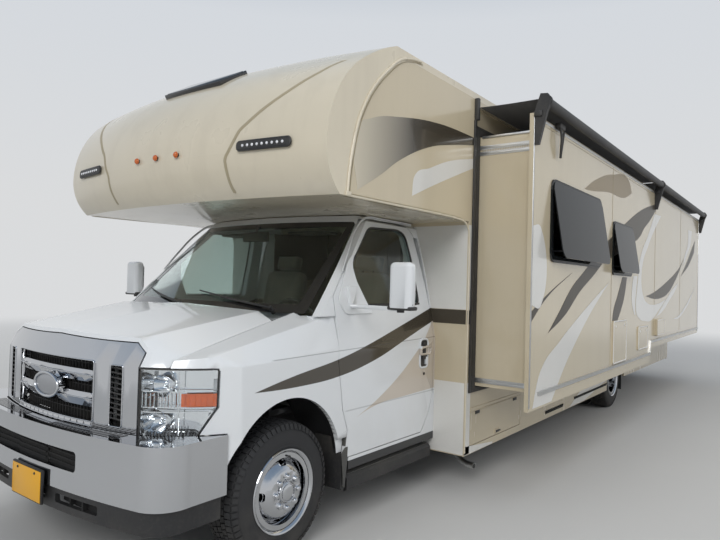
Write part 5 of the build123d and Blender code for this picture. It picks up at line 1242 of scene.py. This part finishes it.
bm = bmesh.new()
addTube(bm, [(half + 0.0015, y + 0.02, z - 0.012) for y, z in bead["front"]], 0.0028)
addTube(bm, [(half + 0.0008, y, z + 0.011) for y, z in bead["foot"][:3]], 0.002)
mirrorAll(bm)
# the front grooves are flat bands of darker cream: painted shade in the recess
marks = [Vector(mark) for mark in bead["groove"]]
fine = [here.lerp(there, step / 3) for here, there in zip(marks, marks[1:]) for step in range(3)] + marks[-1:]
edges = []
for back, here, ahead in zip(fine[:1] + fine[:-1], fine, fine[1:] + fine[-1:]):
    along = (ahead - back).normalized()
    edges.append((here, Vector((-along.y, along.x)) * bead["grooveHalf"]))
band = [here + across for here, across in edges] + [here - across for here, across in edges[::-1]]
for side in (-1, 1):
    wrapFilm(bm, [(side * x, z) for x, z in band], capY, 0.001, 0.001, 0.02, (0,))
makePiece("capGroove", bm, "coach", "shade", smooth=60)

x, z, halfLong, halfHigh = bead["led"]
bm = bmesh.new()
for middle in (-x, x):
    ends = middle - halfLong, middle + halfLong
    outline = roundCorners(*ends, z - halfHigh - 0.005, z + halfHigh + 0.005, 0.018, steps=4)
    ringTube(bm, spread(outline, 0.03), lambda x, z: (x, capY(x, z) - 0.0135, z), 0.0065)
    wrapFilm(bm, corners(*ends, z - halfHigh, z + halfHigh), capY, 0.0185, 0.004, 0.03)
makePiece("ledBezel", bm, "coach", "black", smooth=40)
bm = bmesh.new()
for middle in (-x, x):
    for count in range(-4, 5):
        at = middle + count * 0.033
        addDome(bm, (at, capY(at, z) - 0.0205, z), (0.0085, 0.006, 0.0085), 7)
makePiece("ledLenses", bm, "coach", "led", smooth=60)

bm = bmesh.new()
radius = bead["marker"]
for at in bead["markers"]:
    front = capY(at, z)
    addDome(bm, (at, front - 0.016, z), (radius, 0.012, radius), 8)
    addTube(bm, ellipse((at, front - 0.013, z), (radius, 0, 0), (0, 0, radius), 20), 0.003, 2, closed=True)
makePiece("markerLenses", bm, "coach", "marker", smooth=60)

# roof window on the cap: dark pane on a black box
roofWindow = {"place": (0, 0.175, 2.776), "turn": 31, "rim": (0.2825, 0.1275, 0.016),
              "pane": (0.265, 0.112, 0.0185)}
onRoof = Matrix.Translation(roofWindow["place"]) @ Matrix.Rotation(radians(roofWindow["turn"]), 4, "X")
bm = bmesh.new()
x, y, top = roofWindow["rim"]
roundBox(bm, (-x, -y, top - 0.031), (x, y, top), 0.004, 2, onRoof)
makePiece("roofPaneRim", bm, "coach", "gloss")
bm = bmesh.new()
x, y, top = roofWindow["pane"]
roundBox(bm, (-x, -y, top - 0.004), (x, y, top), 0.0012, 2, onRoof)
makePiece("roofPane", bm, "coach", "dark")
print("cap dressed")

# slide-out: seal column, bands, window frames, hatch outlines, seams, folded arm, topper cloth

slideTrim = {
    "windows": ((1.985, 3.24, 1.7, 2.275), (3.68, 4.44, 1.65, 2.13)),
    # edges, how proud the hatch stands, inset and radius of its outline
    "hatches": ((3.73, 4.24, 0.77, 1.19, 0.01, -0.008, 0.007),
                (4.77, 5.24, 0.83, 1.09, 0.01, -0.008, 0.007),
                (5.66, 6.1, 0.94, 1.146, 0.034, -0.014, 0.003)),
    "seams": ((3.66, 0.77), (5.62, 0.93), (7.35, 0.93)),
    "bands": (0.795, 2.466, 2.51, 2.586),
    "ribs": ((2.456, 2.52, 0.004, 0.0128, 30), (0.788, 0.806, 0.007, 0.0146, 26)),
}
face, front, rear = slide["face"], slide["front"], slide["rear"]
bm = bmesh.new()
for limits in slideTrim["windows"]:
    ringTube(bm, roundCorners(*limits, 0.045, 0.008), atSide(face + 0.004), 0.009)
makePiece("slideWindowSeal", bm, "slide_out", "black", smooth=60)

bm = bmesh.new()
for y0, y1, z0, z1, proud, inset, radius in slideTrim["hatches"]:
    ringTube(bm, roundCorners(y0, y1, z0, z1, 0.018, inset), atSide(face + proud - 0.001), radius)
    if radius > 0.005:
        for y in (y0 + 0.09, y1 - 0.09):
            addCylinder(bm, (face + proud, y, z1 - 0.055), (face + proud + 0.005, y, z1 - 0.055), 0.014, 24,
                        0.012)
makePiece("hatchOutline", bm, "slide_out", "roofWhite", smooth=60)

bm = bmesh.new()
for y, low in slideTrim["seams"]:
    addBox(bm, (face - 0.001, y - 0.0016, low), (face + 0.0022, y + 0.0016, 2.66))
addBox(bm, (face - 0.001, front + 0.018, 2.64), (face + 0.0018, rear - 0.018, 2.643))
makePiece("slideSeam", bm, "slide_out", "shade")

# bright edge strips round the panel, and ribbed bands across the box's front wall
bm = bmesh.new()
for y, low in ((front + 0.01, 0.665), (rear - 0.01, 0.835)):
    roundBox(bm, (face - 0.002, y - 0.009, low), (face + 0.004, y + 0.009, 2.675), 0.0015, 2)
roundBox(bm, (face - 0.002, front + 0.02, 2.662), (face + 0.004, rear - 0.02, 2.682), 0.0015, 2)
for z in slideTrim["bands"]:
    roundBox(bm, (1.282, 1.6905, z - 0.008), (1.672, 1.6985, z + 0.008), 0.0015, 2)
for z0, z1, width, gap, count in slideTrim["ribs"]:
    boxRow(bm, (1.29, 1.69, z0), (1.29 + width, 1.6925, z1), (gap, 0, 0), count)
makePiece("slideBands", bm, "slide_out", "alloy")

# dark column of the seal beside the opening, with its lip
bm = bmesh.new()
half = coach["half"]
for y in (1.622, 9.058):
    roundBox(bm, (half, y - 0.02, 0.715), (half + 0.013, y + 0.012, 2.7), 0.003, 2)
    roundBox(bm, (half, y - 0.016, 2.7), (1.29, y + 0.016, 2.86), 0.004, 2)
roundBox(bm, (half + 0.0005, 1.62, 2.64), (half + 0.013, 9.05, 2.662), 0.003, 2)
makePiece("sealColumn", bm, "coach", "black")

# roller ends, the folded arm hanging from the front end and the brackets
topper = {
    "wall": (1.2725, 2.8062),
    "roller": (1.775, 2.8),
    "axis": 2.763,
    "ends": (1.64, 5.565, 9.05),
    "brackets": (1.614, 5.55, 9.064),
    "arms": ((((1.73, 2.055, 2.705), (1.745, 2.06, 2.62), (1.738, 2.075, 2.52), (1.728, 2.095, 2.462)),
              0.01),
             (((1.728, 2.095, 2.462), (1.735, 2.11, 2.56), (1.745, 2.115, 2.66)), 0.008)),
    "spans": ((1.67, 5.54), (5.59, 9.05)),
    "thick": 0.0022,
    "sag": 0.004,
    "columns": 32,
    "rows": 24,
    "middle": (5.0, 2.803),
    "long": 7.33,
}
bm = bmesh.new()
for y in topper["ends"]:
    x, z = topper["roller"][0], topper["axis"]
    addCylinder(bm, (x, y - 0.01, z), (x, y + 0.01, z), 0.046, 32)
for points, radius in topper["arms"]:
    addTube(bm, points, radius, 3)
roundBox(bm, (face, 2.03, 2.672), (1.748, 2.14, 2.712), 0.006, 2)
for y in topper["brackets"]:
    roundBox(bm, (face, y - 0.012, 2.66), (1.762, y + 0.012, 2.7), 0.005, 2)
makePiece("topperArm", bm, "slide_out", "black", smooth=50)

# the cloth runs off the wall rail, nearly flat, to the top of the roller
bm = bmesh.new()
sheetArea = 0
wallRail, roller = Vector(topper["wall"]), Vector(topper["roller"])
columns, rows = topper["columns"], topper["rows"]
for y0, y1 in topper["spans"]:
    part = bmesh.new()
    row = []
    for step in range(columns + 1):
        share = step / columns
        x, z = wallRail.lerp(roller, share)
        row.append(part.verts.new((x, y0, z - topper["sag"] * 4 * share * (1 - share))))
    run = [part.edges.new(pair) for pair in zip(row, row[1:])]
    for step in range(rows):
        pulled = bmesh.ops.extrude_edge_only(part, edges=run)["geom"]
        run = [edge for edge in ofKind(pulled,
                                       BMEdge) if abs(edge.verts[0].co.x - edge.verts[1].co.x) > 0.001]
        bmesh.ops.translate(part, verts=ofKind(pulled, BMVert), vec=(0, (y1 - y0) / rows, 0))
    bmesh.ops.recalc_face_normals(part, faces=part.faces)
    if sum(side.normal.z for side in part.faces) < 0:
        bmesh.ops.reverse_faces(part, faces=part.faces)
    sheetArea += sum(side.calc_area() for side in part.faces)
    bmesh.ops.solidify(part, geom=part.faces[:], thickness=topper["thick"])
    joinInto(bm, part)
cloth = makePiece("topperCloth", bm, None, "awning", smooth=60, replaces=("topper_fabric",))
middleY, middleZ = topper["middle"]
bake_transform(cloth)
dist(topper["wall"], topper["roller"])
print("slide-out dressed, cloth", round(sheetArea, 3), "square metres")

# seats: crowned cushions and backs with sewn channels, on plain bases

seat = {
    "across": 0.43,
    "cushion": {"low": (-0.235, 0.895, 0.935), "high": (0.235, 1.345, 1.105), "crown": 0.02, "pinch": 0.01},
    "back": {"low": (-0.215, -0.062, 0.0), "high": (0.215, 0.062, 0.56), "crown": 0.022, "pinch": 0.012},
    "head": {"low": (-0.125, -0.045, 0.565), "high": (0.125, 0.045, 0.69), "crown": 0.012, "pinch": 0.008},
    "backFoot": (1.345, 1.03),
    "lean": -13.0,
    "squareness": 0.86,
}


def pillow(low, high, crown, pinch, cuts=22):
    # a closed pad that swells between its edges, with its sides drawn in between the corners
    part = bmesh.new()
    bmesh.ops.create_cube(part, size=2.0)
    bmesh.ops.subdivide_edges(part, edges=part.edges[:], cuts=cuts, use_grid_fill=True)
    low, high = Vector(low), Vector(high)
    half, middle = (high - low) / 2, (high + low) / 2
    thin = min(range(3), key=lambda axis: half[axis])
    first, second = (axis for axis in range(3) if axis != thin)
    for vert in part.verts:
        u, v, w = vert.co[first], vert.co[second], vert.co[thin]
        drawn = 1 - (1 - seat["squareness"]) * abs(u * v) ** 6
        edge = max(abs(u), abs(v))
        thickness = half[thin] * (1 - 0.42 * max(0.0, (edge - 0.72) / 0.28) ** 2.2)
        spot = Vector()
        spot[first] = u * drawn * half[first] - pinch * (1 - v * v) * u * abs(u)
        spot[second] = v * drawn * half[second] - pinch * (1 - u * u) * v * abs(v)
        spot[thin] = w * (thickness + crown * (1 - u * u) * (1 - v * v))
        vert.co = spot + middle
    bmesh.ops.smooth_vert(part, verts=part.verts, factor=0.5, use_axis_x=True, use_axis_y=True,
                          use_axis_z=True)
    return part


def channels(part, axis, places, depth, width, face):
    # sewn lines pressed into the pad
    for vert in part.verts:
        for place in places:
            near = abs(vert.co[axis] - place)
            if near < width and (vert.co[face[0]] - face[1]) * face[2] > 0:
                vert.co[face[0]] -= face[2] * depth * (1 - near / width)


onBack = {side: Matrix.Translation((side * seat["across"], *seat["backFoot"])) @
          Matrix.Rotation(radians(seat["lean"]), 4, "X") for side in (-1, 1)}
for side in (-1, 1):
    bm = bmesh.new()
    pad = pillow(**seat["cushion"])
    channels(pad, 0, (-0.125, 0.125), 0.01, 0.018, (2, 1.04, 1))
    channels(pad, 1, (1.06, 1.2), 0.007, 0.016, (2, 1.04, 1))
    joinInto(bm, pad, Matrix.Translation((side * seat["across"], 0, 0)))
    pad = pillow(**seat["back"])
    channels(pad, 0, (-0.115, 0.115), 0.01, 0.018, (1, 0.0, -1))
    channels(pad, 2, (0.18, 0.34), 0.007, 0.016, (1, 0.0, -1))
    joinInto(bm, pad, onBack[side])
    joinInto(bm, pillow(cuts=14, **seat["head"]), onBack[side])
    seatPad = makePiece("seatPads_" + label[side], bm, "coach", "cloth", smooth=70,
                        replaces=("seats",) if side < 0 else ())
bm = bmesh.new()
for side in (-1, 1):
    x = side * seat["across"]
    roundBox(bm, (x - 0.2, 0.955, 0.795), (x + 0.2, 1.33, 0.945), 0.012, 2)
    for edge in (x - 0.221, x + 0.221):
        roundBox(bm, (edge - 0.007, 1.3, 0.935), (edge + 0.007, 1.42, 1.14), 0.005, 2)
    posts = bmesh.new()
    for post in (-0.05, 0.05):
        addCylinder(posts, (post, 0, 0.52), (post, 0, 0.6), 0.006, 12)
    joinInto(bm, posts, onBack[side])
makePiece("seatBases", bm, "coach", "fascia", smooth=40)
print("seats made")

# rear lamps, markers, plate, seams and step

rear = {
    "wall": coach["rear"],
    # edges, how far the lens stands off the wall, and its thickness
    "lenses": ((1.05, 1.18, 0.845, 1.01, 0.022, 0.012), (1.05, 1.17, 2.74, 2.775, 0.017, 0.01)),
    "seams": (0.93, 1.4, 2.32),
    # the wall's top follows the roof's crown
    "crown": {"foot": 2.8575, "rise": 0.0968, "half": 1.215, "thick": 0.03},
}
wall = rear["wall"]
bm = bmesh.new()
for x0, x1, z0, z1, off, thick in rear["lenses"]:
    roundBox(bm, (x0 + 0.006, wall + off, z0 + 0.006), (x1 - 0.006, wall + off + thick, z1 - 0.006), 0.005, 2)
boxRow(bm, (1.062, wall + 0.033, 0.862), (1.168, wall + 0.0352, 0.865), (0, 0, 0.0165), 9)
mirrorAll(bm)
for x in (-0.15, 0.0, 0.15):
    roundBox(bm, (x - 0.04, wall + 0.014, 2.804), (x + 0.04, wall + 0.025, 2.826), 0.004, 2)
makePiece("rearLenses", bm, "coach", "red", smooth=40)
bm = bmesh.new()
for z in (0.805, 0.766):
    roundBox(bm, (1.056, wall + 0.022, z), (1.174, wall + 0.034, z + 0.036), 0.004, 2)
mirrorAll(bm)
makePiece("reverseLenses", bm, "coach", "led", smooth=40)
bm = bmesh.new()
roundBox(bm, (-0.155, wall + 0.002, 0.78), (0.155, wall + 0.01, 0.938), 0.003, 2)
roundBox(bm, (-0.06, wall + 0.002, 0.944), (0.06, wall + 0.028, 0.966), 0.006, 2)
makePiece("rearPlateHolder", bm, "coach", "black")
bm = bmesh.new()
roundBox(bm, (-0.15, wall + 0.0095, 0.785), (0.15, wall + 0.012, 0.933), 0.001, 2)
makePiece("rearPlateBlank", bm, "coach", "plate")

bm = bmesh.new()
for z in rear["seams"]:
    addBox(bm, (-1.2, wall - 0.0006, z - 0.0015), (1.2, wall + 0.0008, z + 0.0015))
for x in (-1.225, 1.225):
    roundBox(bm, (x - 0.022, wall - 0.0005, 0.33), (x + 0.022, wall + 0.004, 2.86), 0.0015, 2)
roundBox(bm, (-1.2, wall - 0.0005, 2.845), (1.2, wall + 0.005, 2.875), 0.002, 2)
makePiece("rearTrim", bm, "coach", "cream")

foot, rise, half, thick = rear["crown"].values()
across = [half * step / 12 - half for step in range(25)]
crown = [(x, foot + rise * (1 - (x / coach["half"]) ** 2)) for x in across]
outline = [(-half, foot), *crown, (half, foot)]
bm = bmesh.new()
addFilm(bm, outline, frontPlane(wall - thick / 2 - 0.0005), thick)
makePiece("rearCrown", bm, "coach", "coach", smooth=20)

bm = bmesh.new()
boxRow(bm, (-1.05, 9.082, 0.6095), (1.05, 9.085, 0.6125), (0, 0.0075, 0), 13)
makePiece("rearStepTread", bm, "coach", "rubber")

# blank side: awning trim, entry door's window and handle, window beads

blank = {
    "x": -coach["half"],
    "awning": (1.68, 7.6),
    "entryWindow": (3.595, 4.015, 1.495, 2.155),
    "windows": ((1.95, 2.95, 1.5, 2.15), (4.45, 5.5, 1.5, 2.15), (6.3, 7.1, 1.75, 2.15),
                (7.75, 8.7, 1.5, 2.05)),
    "rearWindow": (-0.536, 0.536, 1.634, 2.166),
}
x, (start, end) = blank["x"] - 0.105, blank["awning"]
bm = bmesh.new()
for z in (2.612, 2.66, 2.706):
    addBox(bm, (x - 0.0015, start + 0.02, z - 0.002), (x + 0.002, end - 0.02, z + 0.002))
for y in (start, end):
    roundBox(bm, (x - 0.004, y - 0.012, 2.59), (x + 0.098, y + 0.012, 2.73), 0.01, 3)
makePiece("awningTrim", bm, "coach", "black", smooth=40)

x = blank["x"]
bm = bmesh.new()
ringTube(bm, roundCorners(*blank["entryWindow"], 0.06), atSide(x - 0.01), 0.008)
roundBox(bm, (x - 0.016, 4.066, 1.262), (x - 0.006, 4.114, 1.39), 0.006, 2)
makePiece("entryTrim", bm, "entry", "black", smooth=50)
bm = bmesh.new()
for y0, y1, z0, z1 in blank["windows"]:
    ringTube(bm, roundCorners(y0, y1, z0, z1, 0.06, 0.016), atSide(x - 0.01), 0.009)
    rail = z0 + (z1 - z0) * 0.36
    addBox(bm, (x - 0.01, y0 + 0.02, rail - 0.006), (x - 0.001, y1 - 0.02, rail + 0.006))
ringTube(bm, roundCorners(*blank["rearWindow"], 0.06), lambda x, z: (x, wall + 0.01, z), 0.009)
makePiece("windowBeads", bm, "coach", "black", smooth=60)
print("rear and blank side dressed")

# skirts: slots drawn near black as painted shade, door hinges and latches, tail pipe

skirt = {
    "slots": ((3.2, 3.7, 0.32), (4.05, 5.28, 0.342)),
    "doors": ((1, 1.645, 2.585, "left_luggage_door"), (-1, 2.105, 3.095, "right_luggage_door")),
    "pipe": ((1.05, 1.8, 0.245), (1.1, 1.782, 0.195), (1.165, 1.764, 0.164), (1.25, 1.746, 0.159)),
}
half = coach["half"]
# the slots and the lip over them are near black: painted shade
bm = bmesh.new()
for y0, y1, z in skirt["slots"]:
    addBox(bm, (half - 0.001, y0, z - 0.01), (half + 0.0015, y1, z + 0.01))
    addBox(bm, (half - 0.001, y0, z + 0.01), (half + 0.006, y1, z + 0.016))
mirrorAll(bm)
makePiece("skirtSlotShade", bm, "coach", "paintedShade")
for side, y0, y1, body in skirt["doors"]:
    bm = bmesh.new()
    middle = (y0 + y1) / 2
    for y in (y0 + 0.12, y1 - 0.12):
        roundBox(bm, (half - 0.001, y - 0.035, 0.545), (half + 0.005, y + 0.035, 0.57), 0.002, 2)
    roundBox(bm, (half + 0.0075, middle - 0.03, 0.347), (half + 0.011, middle + 0.03, 0.365), 0.0015, 2)
    addCylinder(bm, (half + 0.008, middle + 0.045, 0.356), (half + 0.012, middle + 0.045, 0.356), 0.007, 20)
    makePiece("luggageTrim_" + label[side], bm, body, "black", smooth=40, side=side)

bm = bmesh.new()
addTube(bm, skirt["pipe"], 0.0215, 3)
makePiece("tailPipe", bm, "coach", "alloy", smooth=60)
bm = bmesh.new()
addCylinder(bm, (1.245, 1.747, 0.1592), (1.2508, 1.7458, 0.159), 0.018, 24)
roundBox(bm, (1.082, 1.776, 0.18), (1.098, 1.79, 0.29), 0.002, 2)
makePiece("pipeHanger", bm, "coach", "black", smooth=60)
print("skirts dressed")

roof = {"unitTop": 3.315, "slots": ((4.42, 4.85), (4.95, 5.38)),
        "vents": ((0.25, 2.5, 3.1076), (-0.3, 7.3, 3.1047))}
top = roof["unitTop"]
bm = bmesh.new()
for count in range(11):
    x = -0.25 + count * 0.05
    for y0, y1 in roof["slots"]:
        roundBox(bm, (x - 0.008, y0, top - 0.012), (x + 0.008, y1, top + 0.004), 0.003, 2)
for x, y, z in roof["vents"]:
    roundBox(bm, (x - 0.16, y - 0.16, z - 0.006), (x + 0.16, y + 0.16, z + 0.006), 0.005, 2)
    roundBox(bm, (x - 0.02, y + 0.13, z - 0.02), (x + 0.02, y + 0.2, z - 0.004), 0.004, 2)
makePiece("roofDetails", bm, "coach", "roofWhite", smooth=40)
print("roof dressed")

# floor, light and camera

horizon = (0.7, 0.71, 0.72, 1)
fade = (13.5, 6.5)              # how far out the floor is half gone, and how far from there it fades


def stageFloor():
    bm = bmesh.new()
    bmesh.ops.create_grid(bm, x_segments=2, y_segments=2, size=60)
    mesh = bpy.data.meshes.new("floor")
    bm.to_mesh(mesh)
    bm.free()
    floor = bpy.data.objects.new("floor", mesh)
    bpy.context.scene.collection.objects.link(floor)
    ground = Finish("paleFloor", rgb(196, 195, 192), 0.85)
    ground.set("Base Color", ground.mix(ground.noise(0.8) * 0.25, rgb(200, 199, 196), rgb(184, 182, 178)))
    # far from the vehicle the floor fades into the horizon's colour for the camera and for reflections
    spot = ground.node("ShaderNodeSeparateXYZ", None, ground.place())
    x, y = spot.out("X"), spot.out("Y")
    reach = (x * x + y * y).maths("SQRT")
    path = ground.node("ShaderNodeLightPath")
    seen = path.out("Is Camera Ray").most(path.out("Is Glossy Ray")).most(path.out("Is Transmission Ray"))
    far = reach.above(*fade) * seen
    glow = ground.tree.nodes.new("ShaderNodeEmission")
    glow.inputs["Color"].default_value = horizon
    blend = ground.tree.nodes.new("ShaderNodeMixShader")
    output = ground.tree.nodes["Material Output"]
    ground.feed(blend.inputs[0], far)
    ground.tree.links.new(ground.shader.outputs[0], blend.inputs[1])
    ground.tree.links.new(glow.outputs[0], blend.inputs[2])
    ground.tree.links.new(blend.outputs[0], output.inputs["Surface"])
    mesh.materials.append(ground.material)


lightPlan = {
    "key": {"place": (6.0, -11.0, 9.0), "aim": (0.3, 1.0, 1.2), "size": 7.0, "power": 900.0},
    "fill": {"place": (12.0, 3.0, 7.0), "aim": (1.2, 4.0, 1.2), "size": 9.0, "power": 380.0},
    "top": {"place": (0.0, 3.0, 13.0), "aim": (0.0, 3.0, 0.0), "size": 12.0, "power": 520.0},
    "back": {"place": (-11.0, 7.0, 8.0), "aim": (0.0, 4.0, 1.5), "size": 9.0, "power": 420.0},
}


def stageLight(name, place, aim, size, power):
    lamp = bpy.data.lights.new(name, "AREA")
    lamp.shape = "DISK"
    lamp.size = size
    lamp.energy = power
    holder = bpy.data.objects.new(name, lamp)
    bpy.context.scene.collection.objects.link(holder)
    holder.location = Vector(place) + shift
    holder.visible_glossy = name == "key"
    holder.rotation_euler = (Vector(aim) - Vector(place)).to_track_quat("-Z", "Y").to_euler()


def stageWorld():
    # soft light from all round, and a pale backdrop for the camera, reflections and glass
    world = bpy.data.worlds.new("studio")
    bpy.context.scene.world = world
    world.use_nodes = True
    tree = world.node_tree
    tree.nodes.clear()

    def add(kind, *feeds, **settings):
        made = tree.nodes.new("ShaderNode" + kind)
        for key, value in settings.items():
            setattr(made, key, value)
        for socket, feed in zip(made.inputs, feeds):
            if isinstance(feed, bpy.types.NodeSocket):
                tree.links.new(feed, socket)
            elif feed is not None:
                socket.default_value = feed
        return made

    height = add("SeparateXYZ", add("TexCoord").outputs["Generated"]).outputs["Z"]
    ramp = add("ValToRGB", add("Math", height, 0.5, 0.5, operation="MULTIPLY_ADD").outputs[0])
    stops = ((0.0, (0.5, 0.49, 0.48, 1)), (0.49, horizon), (0.56, horizon), (0.7, (0.66, 0.69, 0.73, 1)),
             (0.8, (0.34, 0.42, 0.52, 1)), (1.0, (0.22, 0.3, 0.42, 1)))
    while len(ramp.color_ramp.elements) < len(stops):
        ramp.color_ramp.elements.new(0.5)
    for element, (position, colour) in zip(ramp.color_ramp.elements, stops):
        element.position = position
        element.color = colour
    rays = add("LightPath").outputs
    both = add("Math", rays["Is Camera Ray"], rays["Is Glossy Ray"], operation="MAXIMUM")
    seen = add("Math", both.outputs[0], rays["Is Transmission Ray"], operation="MAXIMUM")
    lit = add("Background", (0.78, 0.84, 0.93, 1), 0.46)
    shown = add("Background", ramp.outputs[0])
    mixed = add("MixShader", seen.outputs[0], lit.outputs[0], shown.outputs[0])
    add("OutputWorld", mixed.outputs[0])


viewPoint = {
    "place": (3.2449, -2.3752, 1.4947),
    "yaw": 36.94,
    "pitch": 1.17,
    "roll": 1.55,
    "lens": 603.16 / 720 * 36,
}


def stageCamera():
    lens = bpy.data.cameras.new("camera")
    lens.lens = viewPoint["lens"]
    lens.sensor_width = 36
    camera = bpy.data.objects.new("camera", lens)
    bpy.context.scene.collection.objects.link(camera)
    turn = (Matrix.Rotation(radians(viewPoint["yaw"]), 4, "Z")
            @ Matrix.Rotation(radians(90 + viewPoint["pitch"]), 4, "X")
            @ Matrix.Rotation(radians(viewPoint["roll"]), 4, "Z"))
    camera.matrix_world = Matrix.Translation(Vector(viewPoint["place"]) + shift) @ turn
    bpy.context.scene.camera = camera


stageFloor()
for lampName, plan in lightPlan.items():
    stageLight(lampName, **plan)
stageWorld()
stageCamera()
bpy.context.scene.view_settings.view_transform = "Standard"
print("stage set")
